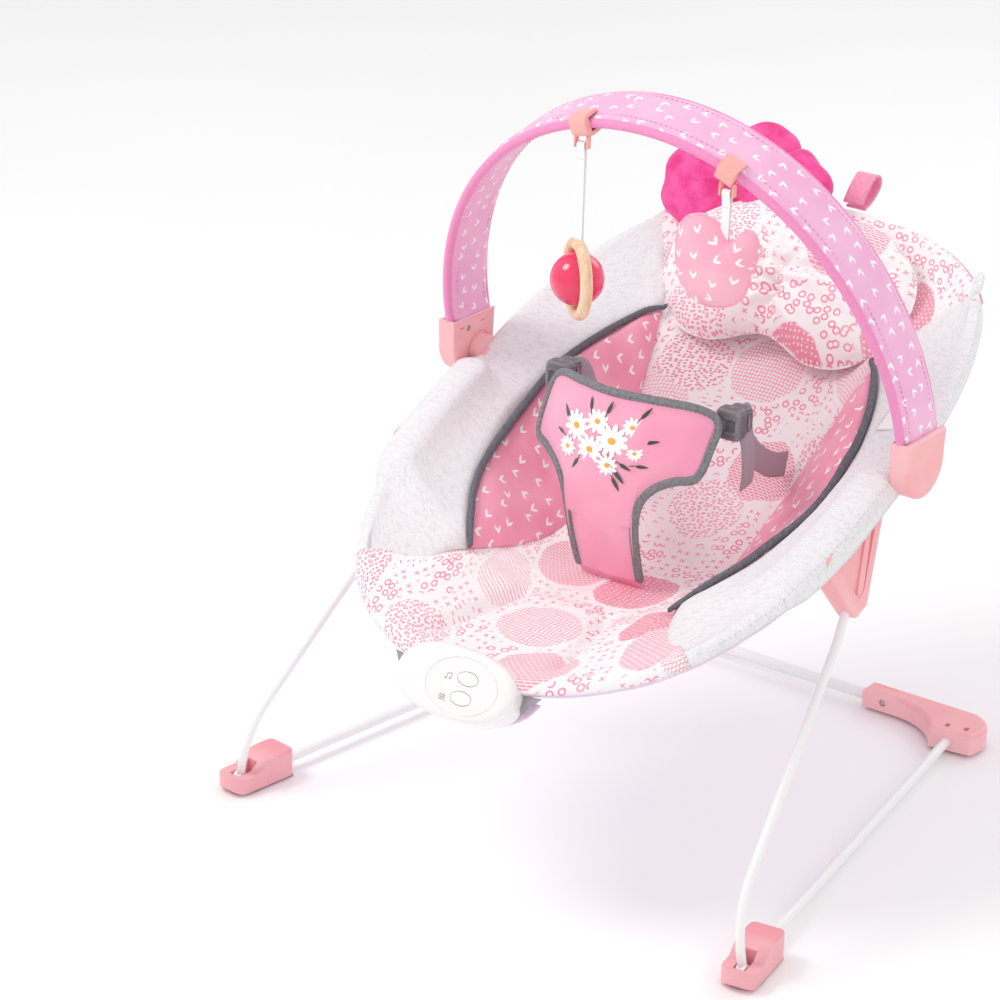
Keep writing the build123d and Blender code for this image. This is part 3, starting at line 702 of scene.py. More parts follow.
WAIST, SHOULDER = (94.0, -133.0), (99.0, 137.0)
OUTER = circle_through(WAIST, (143.0, 3.0), SHOULDER)
INNER = circle_through(WAIST, (75.0, 3.0), SHOULDER)


def wing_x(y, arc, outward):
    cx, cy, r = arc
    return cx + outward * math.sqrt(max(r * r - (y - cy) ** 2, 0.0))


def pad_half(y, arc=INNER, outward=-1):
    """Half width of the pad (or, with the outer arc, of pad and wings) at a given Y."""
    if y < WAIST[1]:
        return 94 + (146 - 94) * min((WAIST[1] - y) / 107, 1.0)
    if y > SHOULDER[1]:
        return 99 + (152 - 99) * min((y - SHOULDER[1]) / 108, 1.0)
    return wing_x(y, arc, outward)


def ease(value):
    value = min(max(value, 0.0), 1.0)
    return value * value * (3 - 2 * value)


def crease(distance, wide, deep):
    """A sewn channel's dip at a distance from its stitch line."""
    return -deep * math.exp(-(distance / wide) ** 2)


# ================================================================ seat cover
WRAP = (6, 22, 38, 56, 74, 92, 112)
CHANNELS = (-0.40, 0.40)


def pad_lift(u, x, y):
    """Height of the quilted pad above the sling's line."""
    half = pad_half(y)
    lift = 3.2 + crease((1 - abs(u)) * half, 7.0, 6.5)
    strength = ease((-118 - y) / 26)
    for seam in CHANNELS:
        lift += crease((u - seam) * half, 6.0, 8.5) * strength
    lobe = math.sin(math.pi * min(abs(u) / 0.4, 1.0) / 2 + math.pi / 2) if abs(u) < 0.4 else 0.0
    outer = math.sin(math.pi * (abs(u) - 0.4) / 0.6) if abs(u) > 0.4 else 0.0
    lift += 4.5 * strength * max(lobe, outer, 0.0) ** 0.8
    folds = noise.noise(Vector((x * 0.035, y * 0.012, 3.0))) * 1.7
    folds += noise.noise(Vector((x * 0.012, y * 0.05, 9.0))) * 1.1
    return lift + folds


def cover_column(u, inside, lift_at, foot_x, head_x, half_at, thick):
    """Top and bottom points of one lengthwise column, wrapped over the tube at both ends."""
    side = 1 if u >= 0 else -1
    foot = rim_station(abs(u) * foot_x, False)
    head = rim_station(abs(u) * head_x, True)
    top, low = ([rim_spot(foot, radius, a, side) for a in WRAP] for radius in PAD_WRAP)
    start, end = top[-1], rim_spot(head, PAD_WRAP[0], WRAP[-1], side)
    for k in range(1, inside + 1):
        t = k / (inside + 1)
        y = start.y + (end.y - start.y) * t
        near, far = math.exp(-((t * 16) ** 2)), math.exp(-(((1 - t) * 16) ** 2))
        x = u * half_at(y)
        x += (start.x - u * half_at(start.y)) * near + (end.x - u * half_at(end.y)) * far
        rise = (start.z - sling_height(start.x, start.y)) * near + (end.z - sling_height(end.x, end.y)) * far
        inner = 1 - max(near, far)
        p = on_sling(x, y, lift_at(u, x, y) * inner)
        p.z += rise
        top.append(p)
        low.append(p - sling_normal(x, y) * (1.1 + thick * inner))
    for points, radius in zip((top, low), PAD_WRAP):
        points += [rim_spot(head, radius, a, side) for a in WRAP[::-1]]
    return top, low


def across(columns):
    return [list(row) for row in zip(*columns)]


def build_pad():
    made = [cover_column(-1 + 2 * j / 108, 170, pad_lift, 146, 152, pad_half, 11.5) for j in range(109)]
    top, low = across([m[0] for m in made]), across([m[1] for m in made])
    pad = slab("seat_pad", top, low, "white_print", "seat", ("centre_pad",))
    return pad


def draped_spot(position, degrees, side, radius, drape):
    """A point of the cloth round the tube, where drape lifts it over the bracket's top edge."""
    centre = rim_spot(position, 0, 0, side)
    out = rim_spot(position, 1, 0, side) - centre
    up = rim_spot(position, 1, 90, side) - centre
    turn = math.radians(degrees)
    sideways = (radius + 6.2 * drape) * math.cos(turn) - 12.5 * drape * ease((degrees - 56) / 56)
    return centre + out * sideways + up * ((radius + 10.5 * drape) * math.sin(turn))


def build_side_panel(side, word):
    first, last = rim_station(146, False), rim_station(152, True)
    top, low = [], []
    start, end = rim_frame(round(first))[0].y, rim_frame(round(last))[0].y
    for i in range(181):
        t = i / 180
        spot = first + (last - first) * t
        at = rim_spot(spot, 0, 0).y
        drape = ease((at + 134) / 24) * ease((14 - at) / 18)
        ring, ring_low = ([draped_spot(spot, a, side, radius, drape) for a in WRAP[::-1]] for radius in PANEL_WRAP)
        share = (rim_spot(spot, 0, 0).y - start) / (end - start)
        by = -240 + 485 * min(max(share, 0.0), 1.0)
        bx = pad_half(by, OUTER, 1) * side
        inner = ring[0]
        taper = ease(min(t, 1 - t) / 0.08)
        pull = ease(min(t, 1 - t) / 0.05)
        bx, by = inner.x + (bx - inner.x) * pull, inner.y + (by - inner.y) * pull
        row, under = [], []
        for k in range(18):
            a = k / 18
            x, y = bx + (inner.x - bx) * a, by + (inner.y - by) * a
            lift = 1.6 + crease(a * abs(inner.x - bx), 5.0, 3.5) + 2.6 * math.sin(math.pi * a) * taper
            lift += noise.noise(Vector((x * 0.03, y * 0.02, 5.0))) * 1.5 * taper
            p = on_sling(x, y, lift)
            p.z += (inner.z - on_sling(inner.x, inner.y, 1.6).z) * a ** 3
            row.append(p)
            under.append(p - sling_normal(x, y) * (1.2 + 5.0 * math.sin(math.pi * min(a + 0.15, 1)) * taper))
        top.append(row + ring)
        low.append(under + ring_low)
    panel = slab("side_cover_" + word, top, low, "melange_fabric", "seat", ("side_panel_" + word,))
    line = [row[21] for row in top[8:-8]]
    up = [rim_frame(min(round(first + (last - first) * i / 180), STATIONS), side)[2] for i in range(8, 173)]
    stitches("side_topstitch_" + word, line, up, "white_thread", "seat")
    return panel


def build_wing(side, word):
    top, low = [], []
    for i in range(111):
        t = i / 110
        y = WAIST[1] + (SHOULDER[1] - WAIST[1]) * t
        x0, x1 = wing_x(y, INNER, -1), wing_x(y, OUTER, 1)
        taper = math.sin(math.pi * t) ** 0.5
        row, under = [], []
        for k in range(25):
            a = k / 24
            x = (x0 + (x1 - x0) * a) * side
            puff = math.sin(math.pi * a) ** 0.6
            lift = -2.5 + 9.0 * puff * taper
            lift += noise.noise(Vector((x * 0.06, y * 0.035, 2.0))) * 2.4 * puff
            lift += noise.noise(Vector((x * 0.02, y * 0.12, 7.0))) * 1.0 * puff
            row.append(on_sling(x, y, lift))
            under.append(on_sling(x, y, -5.0 - 4.0 * puff * taper))
        top.append(row)
        low.append(under)
    wing = slab("wing_cover_" + word, top, low, "pink_print", "seat", ("seat_wing_" + word,))
    path = []
    for i in range(121):
        y = WAIST[1] - 4 + (SHOULDER[1] - WAIST[1] + 8) * i / 120
        x = wing_x(min(max(y, WAIST[1]), SHOULDER[1]), OUTER, 1) * side
        path.append(on_sling(x, y, 2.6))
    tube("wing_piping_" + word, path, lambda t: 3.1 * (math.sin(math.pi * t) ** 0.15 + 0.02),
         "dark_piping", "seat", sides=12, up=(side, 0, 0.3))
    return wing


def build_hem():
    sides = 18
    points, lay, along, last = [], [], 0.0, None
    for index, side in ROUND_THE_RIM:
        centre, out, up = rim_frame(index, side)
        if last is not None:
            along += (centre - last).length
        last = centre
        for k in range(sides):
            a = 2 * math.pi * k / sides
            r = HEM_R + 0.35 * math.sin(along * 0.16 + 2 * math.sin(along * 0.031)) * max(0.0, -math.sin(a))
            points.append(tuple(centre + (out * math.cos(a) + up * math.sin(a)) * r))
            lay.append((a * HEM_R, along))
    count = len(ROUND_THE_RIM)
    faces = grid_faces(count, sides, wrap=True)
    for k in range(sides):
        end = (count - 1) * sides
        faces.append((end + k, end + (k + 1) % sides, (k + 1) % sides, k))
    hem = piece("rim_hem_cover", points, faces, "lilac_fabric", "seat", ("rim_hem",), lay)
    start, radius = rim_station(150, True), PANEL_WRAP[0]
    spots = [start + (STATIONS - start) * i / 90 for i in range(90)]
    edge = [rim_spot(spot, radius, 0, 1) for spot in spots] + [rim_spot(HEAD_END, radius, 0, 1)]
    edge += [rim_spot(spot, radius, 0, -1) for spot in spots[::-1]]
    tube("head_edge_piping", edge, 1.7, "pink_edge", "seat", sides=8)
    return hem


def build_back():
    rings, around = 44, len(ROUND_THE_RIM)
    points, lay = [], []
    for r in range(rings + 1):
        share = (r + 0.5) / (rings + 0.5)
        for index, side in ROUND_THE_RIM:
            edge = rim_spot(min(index, HEAD_END), 7.7, -112, side)
            x, y = edge.x * share, RIM_Y + (edge.y - RIM_Y) * share
            p = on_sling(x, y, -17.4)
            p.z += (edge.z - on_sling(edge.x, edge.y, -17.4).z) * share ** 8
            p.z += noise.noise(Vector((x * 0.02, y * 0.02, 4.0))) * 1.6 * (1 - share ** 4)
            points.append(tuple(p.lerp(edge, share ** 24)))
            lay.append((x, y))
    back = piece("seat_back_cover", points, disc_faces(rings, around), "lilac_fabric", "seat", ("seat_back",), lay)
    return back


# ================================================================ control unit details
UNIT = Vector((0.0, -278.7, 182.5))
UNIT_LEAN = math.radians(35)
UNIT_UP = Vector((0.0, math.sin(UNIT_LEAN), math.cos(UNIT_LEAN)))
UNIT_OUT = Vector((0.0, -math.cos(UNIT_LEAN), math.sin(UNIT_LEAN)))


def on_unit(x, y, z=0.0):
    return UNIT + Vector((x, 0, 0)) + UNIT_UP * y + UNIT_OUT * z


def build_unit_details():
    """A plain note and three waves, printed beside the two buttons."""
    x, y = -3.6, 3.0
    note = [(-2.2, -1.8), (-2.2, 1.9), (1.4, 2.5), (1.4, -1.2)]
    stroke = [on_unit(x + a, y + b, 0.05) for a, b in note]
    tube("music_icon", stroke, 0.34, "grey_line", "seat", sides=6)
    for part, (a, b) in enumerate(((-3.0, -2.0), (0.6, -1.4))):
        dot = [on_unit(x + a + shift, y + b, high) for shift, high in ((-0.5, 0.05), (0, 0.1), (0.5, 0.05))]
        tube(f"music_icon_dot_{part}", dot, 0.7, "grey_line", "seat", sides=8)
    y = -13.0
    for row in range(3):
        level = y - 1.6 + 1.6 * row
        wave = [on_unit(x - 3 + 0.5 * i, level + 0.55 * math.sin(i), 0.05) for i in range(13)]
        tube(f"vibration_icon_{row}", wave, 0.3, "grey_line", "seat", sides=6)


def build_flap():
    top, low = [], []
    for i in range(21):
        t = i / 20
        half = 62 - 14 * t - 26 * t ** 3
        row, under = [], []
        for k in range(61):
            u = -1 + 2 * k / 60
            bend = -1.5 * (1 - u * u) + 1.4 * math.sin(u * 9) * t
            row.append(on_unit(u * half, 6 - 30 * t, -25.4 + bend))
            under.append(on_unit(u * half, 6 - 30 * t, -26.8 + bend))
        top.append(row)
        low.append(under)
    flap = slab("unit_flap_cover", top, low, "lilac_fabric", "seat", ("unit_flap",))
    for side in (-1, 1):
        corners = [(50, 8), (66, 10), (54, -6)]
        ring = [on_unit(side * a, b, -16.0) for a, b in corners]
        under = [p - UNIT_OUT * 1.4 for p in ring]
        faces = [(0, 1, 2), (5, 4, 3), (0, 3, 4, 1), (1, 4, 5, 2), (2, 5, 3, 0)]
        name = "unit_elastic_" + ("right" if side > 0 else "left")
        lay = [(a, b) for a, b in corners] * 2
        piece(name, [tuple(p) for p in ring + under], faces, "grey_webbing", "seat", uv=lay, smooth=False)


# ================================================================ pillow, flower, loop, label
def frame_of(origin, tilt_y, tilt_z):
    out = Vector((0, tilt_y, tilt_z)).normalized()
    side = Vector((1, 0, 0))
    return Vector(origin), side, out.cross(side), out


PILLOW = frame_of((-6.0, 176.0, 370.0), -0.766, 0.643)
FLOWER = frame_of((-72.0, 224.0, 409.0), -0.866, 0.5)


def local(frame_axes, x, y, z=0.0):
    origin, side, up, out = frame_axes
    return origin + side * x + up * y + out * z


def pillow_outline():
    right = [(60, 58), (106, 26), (112, -18), (86, -56), (48, -66)]
    points = [(0, 62), *right, (0, -50)] + [(-x, y) for x, y in reversed(right)]
    return smooth_path([(x, y, 0) for x, y in points], 168, True)


def bow_seams(x, y):
    """Dips along the pillow's two bow-shaped seams and its middle gather."""
    side = abs(x)
    upper = 4 + 26 * (side / 100) ** 1.4
    lower = -14 - 18 * (side / 100) ** 1.2
    dip = crease(y - upper, 4.2, 8.0) * ease((104 - side) / 20)
    dip += crease(side, 7.0, 10.0) * ease((10 - y) / 24)
    gathers = math.sin(math.atan2(y + 8, side + 12) * 15) * 2.0
    gathers *= math.exp(-((math.hypot(side, y + 8) / 46) ** 2))
    return dip + gathers + crease(y - lower, 6.0, 3.0) * ease((90 - side) / 30)


def build_pillow():
    outline = pillow_outline()
    centre = Vector((0, -2, 0))
    rings = 30
    points, lay = [], []
    around = len(outline)
    for layer in (1, -1):
        for r in range(rings + 1):
            share = (r + 0.4) / (rings + 0.4)
            for p in outline:
                q = centre + (p - centre) * share
                high = 25 * max(0.0, 1 - share ** 2.6) ** 0.62
                if layer > 0:
                    high += bow_seams(q.x, q.y) * (1 - share ** 6)
                    high += noise.noise(Vector((q.x * 0.035, q.y * 0.035, 1.0))) * 2.2 * (1 - share ** 3)
                ripple = 1 + 0.012 * math.sin(math.atan2(q.y, q.x) * 23) * share ** 6
                points.append(tuple(local(PILLOW, q.x * ripple, q.y * ripple, layer * high)))
                lay.append((q.x, q.y))
    block = (rings + 1) * around
    faces = disc_faces(rings, around) + disc_faces(rings, around, block, True)
    for k in range(around):
        a, b = rings * around + k, rings * around + (k + 1) % around
        faces.append((a, a + block, b + block, b))
    pillow = piece("pillow_cover", points, faces, "white_print", "seat", ("head_pillow",), lay)
    seam = [local(PILLOW, p.x * 1.004, p.y * 1.004, 0) for p in outline]
    tube("pillow_seam", seam, 1.1, "white_print", "seat", sides=8, closed=True)
    return pillow


def petal(name, x, y, turn, size, deep, lift):
    """A folded petal: a soft wide lobe with a tuck running out from its root and a rolled rim."""
    points, faces, lay = [], [], []
    rows, cols = 30, 56
    for i in range(rows + 1):
        a = math.pi * i / rows
        for k in range(cols):
            b = 2 * math.pi * k / cols
            r = math.sin(a) ** 0.8
            lobe = 1 + 0.07 * math.cos(2 * b) + 0.035 * math.sin(7 * b + turn)
            px, py = r * math.cos(b) * lobe, r * math.sin(b) * lobe * 1.12
            pz = math.copysign(abs(math.cos(a)) ** 0.8, math.cos(a))
            tuck = math.exp(-((py / (0.12 + 0.10 * max(px + 1, 0))) ** 2)) * ease((0.55 - px) / 1.1)
            pleat = math.exp(-(((abs(py) - 0.42 * (px + 1.0)) / 0.13) ** 2)) * ease((0.3 - px) / 1.0)
            pz *= 1 - 0.75 * tuck - 0.35 * pleat
            pz += 0.28 * r * r * math.cos(b) - 0.16 * math.cos(2 * b) * r * r
            c, s = math.cos(turn), math.sin(turn)
            qx, qy = px * size, py * size
            spot = local(FLOWER, x + qx * c - qy * s, y + qx * s + qy * c, lift + pz * deep)
            spot += noise.noise_vector(spot * 0.05) * 2.4
            points.append(tuple(spot))
            lay.append((px * size, py * size))
    faces = grid_faces(rows + 1, cols, wrap=True)
    made = piece(name, points, faces, "velour", "seat", uv=lay)
    return made


# X, Y, turn, size and lift of each petal on the flower's face
PETALS = ((32, 12, 0.35, 36, 3), (-4, 32, 1.75, 35, -4), (-44, 6, 3.0, 39, 4), (-28, -30, 3.95, 36, -2),
          (22, -28, 5.2, 34, 1))


def build_flower():
    for k, (x, y, turn, size, lift) in enumerate(PETALS):
        petal(f"flower_petal_{k}", x, y, turn, size, 12, lift)
    knot = petal("flower_knot", 0, 0, 0.4, 15, 12, 8)
    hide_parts("flower_plush")


def build_loop():
    outline = [(262, 414), (270, 424), (281, 433), (289.5, 432), (291.5, 425), (286, 418), (276, 412),
               (267, 409)]
    path = smooth_path([(0, y, z) for y, z in outline], 60)
    shifts = [Vector((-8 + 18 * k / 10, 0, 0)) for k in range(11)]
    top, low = [], []
    for i, p in enumerate(path):
        ahead = (path[min(i + 1, 59)] - path[max(i - 1, 0)]).normalized()
        out = ahead.cross(Vector((1, 0, 0)))
        top.append([p + shift + out * 0.9 for shift in shifts])
        low.append([p + shift - out * 0.9 for shift in shifts])
    loop = slab("head_loop_tape", top, low, "loop_fabric", "seat", ("head_loop",))
    return loop


def build_label():
    top, low = [], []
    for i in range(15):
        row, under = [], []
        for k in range(11):
            x, y = 148 + 24 * k / 10, 62 + 34 * i / 14
            curl = 1.6 * ease((k - 7) / 4) * math.sin(math.pi * i / 14)
            row.append(on_sling(x, y, 5.9 + curl))
            under.append(on_sling(x, y, 5.2 + curl))
        top.append(row)
        low.append(under)
    label = slab("care_label_tape", top, low, "label_fabric", "seat", ("care_label",))
    edge = [on_sling(149.2, 63 + 32 * i / 20, 6.0) for i in range(21)]
    stitches("care_label_stitch", edge, (0, 0, 1), "pale_thread", "seat", 3.4, 2.2, 0.35, 0.25)
    return label


# ================================================================ restraint
def restraint_y(x, z):
    t = (z - 189.0) / 160.0
    bulge = 25 * math.sin(math.pi * min(max(t, 0), 1) * 0.86)
    return -69.0 - bulge + 44 * (x / 72.0) ** 2 * max(t, 0) ** 1.5


def panel_bounds(x):
    """Lowest and highest Z of the panel at X."""
    side = abs(x)
    if side <= 28:
        low = 200.0
    elif side <= 30:
        low = 200.0 + 52.0 * (side - 28) / 2
    else:
        cx, cz, r = circle_through((30, 252), (43, 284), (70, 293))
        low = cz + math.sqrt(max(r * r - (side - cx) ** 2, 0.0))
    cx, cz, r = circle_through((72, 338), (40, 346), (0, 349))
    high = cz + math.copysign(math.sqrt(max(r * r - (side - cx) ** 2, 0.0)), 340 - cz)
    corner = max(side - 56.0, 0.0) / 16.0
    return low + 7 * max(corner - 0.4, 0.0) ** 2, high - 6 * corner ** 2.2


def panel_face(x, z, lift=0.0):
    """A point on the panel's front, lifted towards the foot end."""
    gx = (restraint_y(x + 1, z) - restraint_y(x - 1, z)) / 2
    gz = (restraint_y(x, z + 1) - restraint_y(x, z - 1)) / 2
    out = Vector((gx, -1, gz)).normalized()
    return Vector((x, restraint_y(x, z), z)) + out * lift


def panel_outline():
    right = [(28, 200), (29, 226), (30, 252), (34, 271), (43, 284), (56, 291), (68, 293), (72, 300), (73, 314),
             (73, 328), (68, 336.5), (56, 342.5), (40, 346), (20, 348.3), (0, 349)]
    return right + [(-x, z) for x, z in right[-2::-1]]


def build_restraint():
    xs = [28 * k / 16 for k in range(17)] + [28.5, 29, 29.5, 30] + [30 + 41.5 * k / 22 for k in range(1, 23)]
    xs = [-x for x in reversed(xs[1:])] + xs
    top, low, lay = [], [], []
    rows = 60
    for i in range(rows + 1):
        t = i / rows
        row, under = [], []
        for x in xs:
            z0, z1 = panel_bounds(x)
            z = z0 + (z1 - z0) * t
            if abs(x) > 28:
                edge = min(z - z0, z1 - z, 72 - abs(x))
            else:
                edge = min(z1 - z, 30 - abs(x) if z < 250 else 20)
            puff = 2.6 * ease(edge / 16)
            crumple = noise.noise(Vector((x * 0.05, z * 0.04, 2.0))) * 1.5 * ease(edge / 12)
            row.append(panel_face(x, z, 4.2 + puff + crumple))
            under.append(panel_face(x, z, 1.4))
            lay.append((x, z))
        top.append(row)
        low.append(under)
    panel = slab("restraint_cover", top, low, "panel_fabric", "restraint", ("restraint_panel",), uv=lay)
    path = smooth_path([(x, 0, z) for x, z in panel_outline()], 260)
    rim = [panel_face(p.x, p.z, 3.4) for p in path]
    tube("restraint_binding", rim, 3.7, "grey_binding", "restraint", sides=12, flat=0.8, up=(0, -1, 0.1))
    inner = []
    for i, p in enumerate(path):
        ahead = (path[min(i + 1, 259)] - path[max(i - 1, 0)]).normalized()
        inward = Vector((-ahead.z, 0, ahead.x))
        q = p + inward * 2.2
        inner.append(panel_face(q.x, q.z, 6.6))
    stitches("restraint_binding_stitch", inner, (0, -1, 0.2), "grey_line", "restraint", 3.6, 2.4, 0.35, 0.3)
    foot, low = [], []
    xs = [-28 + 7 * k for k in range(9)]
    for i in range(9):
        t = i / 8
        z = 186 + 20 * t
        foot.append([panel_face(x, z, 4.2 - 1.5 * (1 - t)) for x in xs])
        low.append([panel_face(x, z, 1.5) for x in xs])
    strap = slab("restraint_foot", foot, low, "panel_fabric", None)
    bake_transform(strap)
    fold_line = [panel_face(-30 + 6 * k, 186.5, 3.4) for k in range(11)]
    tube("restraint_fold_piping", fold_line, 2.2, "hot_edge", "seat", sides=10)
    return panel


# X, Z, size and turn of each daisy, and X, Z, turn and length of each leaf
DAISIES = (
    (-23, 318, 11.5, 0.1), (-5, 326, 9.5, 0.5), (9, 315, 12.5, 0.9), (-8, 305, 11.0, 0.3),
    (-29, 301, 8.0, 1.2), (22, 327, 7.5, 0.2), (8, 297, 8.5, 0.7), (27, 309, 6.0, 0.0),
)
LEAVES = (
    (-36, 324, 2.3, 8), (-13, 337, 1.8, 8), (3, 338, 1.3, 8), (29, 338, 1.0, 8), (37, 318, 0.2, 8),
    (22, 298, -0.4, 8), (-20, 291, -2.1, 8), (-3, 287, -1.6, 7), (16, 284, -1.0, 9), (34, 300, 0.0, 7),
    (-39, 309, 2.9, 6), (18, 290, -0.8, 10),
)


def lay_print(name, shapes, material):
    """Printed shapes, each a thin raised fan of outline points about its middle."""
    points, faces, lay = [], [], []
    for (cx, cz), ring in shapes:
        start = len(points)
        points.append(tuple(panel_face(cx, cz, 7.35)))
        points += [tuple(panel_face(x, z, 7.25)) for x, z in ring]
        count = len(ring)
        for k in range(count):
            faces.append((start, start + 1 + k, start + 1 + (k + 1) % count))
        lay += [(cx, cz), *ring]
    return piece(name, points, faces, material, "restraint", uv=lay)


def oval(cx, cz, long, wide, turn, point=0.0, count=14):
    ring = []
    for k in range(count):
        a = 2 * math.pi * k / count
        u, v = math.cos(a) * long, math.sin(a) * wide * (1 - point * math.cos(a))
        c, s = math.cos(turn), math.sin(turn)
        ring.append((cx + u * c - v * s, cz + u * s + v * c))
    return ring


def build_daisies():
    petals, hearts, leaves = [], [], []
    for x, z, size, turn in DAISIES:
        for k in range(11):
            a = turn + 2 * math.pi * k / 11
            long = size * (0.46 + 0.05 * math.sin(k * 2.3))
            px, pz = x + math.cos(a) * size * 0.55, z + math.sin(a) * size * 0.5
            petals.append(((px, pz), oval(px, pz, long, size * 0.17, a, -0.25)))
        hearts.append(((x, z), oval(x, z, size * 0.24, size * 0.2, 0)))
    for x, z, turn, long in LEAVES:
        leaves.append(((x, z), oval(x, z, long * 0.62, long * 0.16, turn, 0.5)))
        a, b = x - math.cos(turn) * long * 0.9, z - math.sin(turn) * long * 0.9
        leaves.append(((a, b), oval(a, b, long * 0.5, 0.35, turn + 0.15)))
    lay_print("daisy_petals", petals, "petal_ink")
    lay_print("daisy_leaves", leaves, "leaf_ink")
    centres = lay_print("daisy_centres", hearts, "centre_ink")
    for vertex in centres.data.vertices:
        vertex.co.y -= 0.0003


def ribbon_strip(name, path, wide, thick, wide_dir, material, body, nodes=()):
    """A flat tape along a path. wide_dir gives its width direction at each point."""
    top, low = [], []
    count = len(path)
    for i, p in enumerate(path):
        ahead = (path[min(i + 1, count - 1)] - path[max(i - 1, 0)]).normalized()
        w = Vector(wide_dir(i / (count - 1)) if callable(wide_dir) else wide_dir)
        w = (w - ahead * w.dot(ahead)).normalized()
        out = ahead.cross(w)
        row, under = [], []
        for k in range(9):
            u = -1 + k / 4
            rim = thick / 2 * (1.0 if abs(u) < 0.9 else 0.75)
            row.append(p + w * (u * wide / 2) + out * rim)
            under.append(p + w * (u * wide / 2) - out * rim)
        top.append(row)
        low.append(under)
    return slab(name, top, low, material, body, nodes)


def build_straps(side, word):
    back = restraint_y(74, 330)
    slot = sling_height(70, 58)
    route = [(79, back + 20, 331), (76, back + 34, 328), (72, 0, (331 + slot) / 2 + 8), (70, 34, slot + 24),
             (69, 62, slot + 15)]
    path = smooth_path([(side * x, y, z) for x, y, z in route], 50)
    strap = ribbon_strip("waist_webbing_" + word, path, 20, 1.9, (0, 0.25, 1), "grey_webbing", "seat",
                         ("waist_strap_" + word,))
    tail = [(81, back + 24, 326), (84, back + 26, 308), (83, back + 30, 288), (80, back + 33, 272)]
    path = smooth_path([(side * x, y, z) for x, y, z in tail], 30)
    end = ribbon_strip("waist_webbing_tail_" + word, path, 17, 1.7, (0, 1, 0.15), "grey_webbing", "seat")


def rounded_block(name, centre, size, power, material, body, nodes=(), ridges=0.0, slots=()):
    """A moulded block with rounded edges, thumb ridges on its outer face and shallow slots."""
    points, lay = [], []
    rows, cols = 40, 72
    centre, half = Vector(centre), Vector(size) / 2
    for i in range(rows + 1):
        a = math.pi * (i / rows - 0.5)
        for k in range(cols):
            b = 2 * math.pi * k / cols
            raw = Vector((math.cos(a) * math.cos(b), math.cos(a) * math.sin(b), math.sin(a)))
            norm = sum(abs(c) ** power for c in raw) ** (1 / power)
            p = Vector(raw[j] / norm * half[j] for j in range(3))
            if ridges and abs(p.x) > half.x * 0.55:
                p.x *= 1 - ridges * (0.5 + 0.5 * math.cos(p.z * 2.3))
            for sx, sz, wide, high in slots:
                if abs(p.x - sx) < wide and abs(p.z - sz) < high:
                    p.y *= 0.72
            points.append(tuple(centre + p))
            lay.append((p.x, p.z))
    return piece(name, points, grid_faces(rows + 1, cols, wrap=True), material, body, nodes, lay)


def build_buckles():
    back = restraint_y(74, 330)
    for side, word in ((1, "right"), (-1, "left")):
        slots = ((side * 2, 0, 5.0, 4.5),)
        rounded_block("buckle_socket_shell_" + word, (side * 78.5, back + 8.8, 331), (23, 13.6, 25.5), 5.0,
                      "grey_buckle", "restraint", ("buckle_socket_" + word,), 0.05, slots)
        rounded_block("buckle_plug_shell_" + word, (side * 78.5, back + 22.2, 331), (18.6, 10.4, 21.6), 4.5,
                      "grey_buckle", "seat", ("buckle_plug_" + word,), 0.10)
        for k in (-1, 1):
            arm = [(side * (78.5 + 10.2 * k), back + 17.4, 331 + 5 * j) for j in (-1.2, 0, 1.2)]
            tube(f"buckle_arm_{k + 1}_{word}", [Vector(p) for p in arm], 1.3, "grey_buckle", "seat", sides=10)


def build_bracket_loops():
    """A band of webbing round the rim, just below each bracket."""
    spot = min(range(61, 180), key=lambda i: abs(rim_frame(i)[0].y + 84))
    for side, word in ((1, "right"), (-1, "left")):
        path = [rim_spot(spot + 0.01, 9.4, a, side) for a in range(60, -121, -12)]
        tangent = rim_frame(spot + 1, side)[0] - rim_frame(spot - 1, side)[0]
        ribbon_strip("rim_webbing_0_" + word, path, 12, 1.2, tangent, "grey_webbing", "seat")


# ================================================================ toy bar
ARCH_HALF, ARCH_FOOT, ARCH_TOP, ARCH_LEAN, ARCH_TWIST = 212.5, 334.0, 563.0, -0.27, 0.24
HUB_Y, HUB_TOP, BAND_WIDE, BAND_THICK = 14.0, 339.0, 54.0, 10.5
RING_X, HEART_X = -45, 81


def arch_point(angle, inset=BAND_THICK / 2):
    h, w = ARCH_TOP - ARCH_FOOT - inset, ARCH_HALF - inset
    z = ARCH_FOOT + h * math.cos(angle)
    centre = Vector((w * math.sin(angle), HUB_Y + ARCH_LEAN * (z - HUB_TOP), z))
    tip = ARCH_TWIST * math.cos(angle)
    wide = Vector((0, math.cos(tip), math.sin(tip)))
    along = Vector((w * math.cos(angle), -ARCH_LEAN * h * math.sin(angle), -h * math.sin(angle)))
    return centre, wide, -along.cross(wide).normalized()


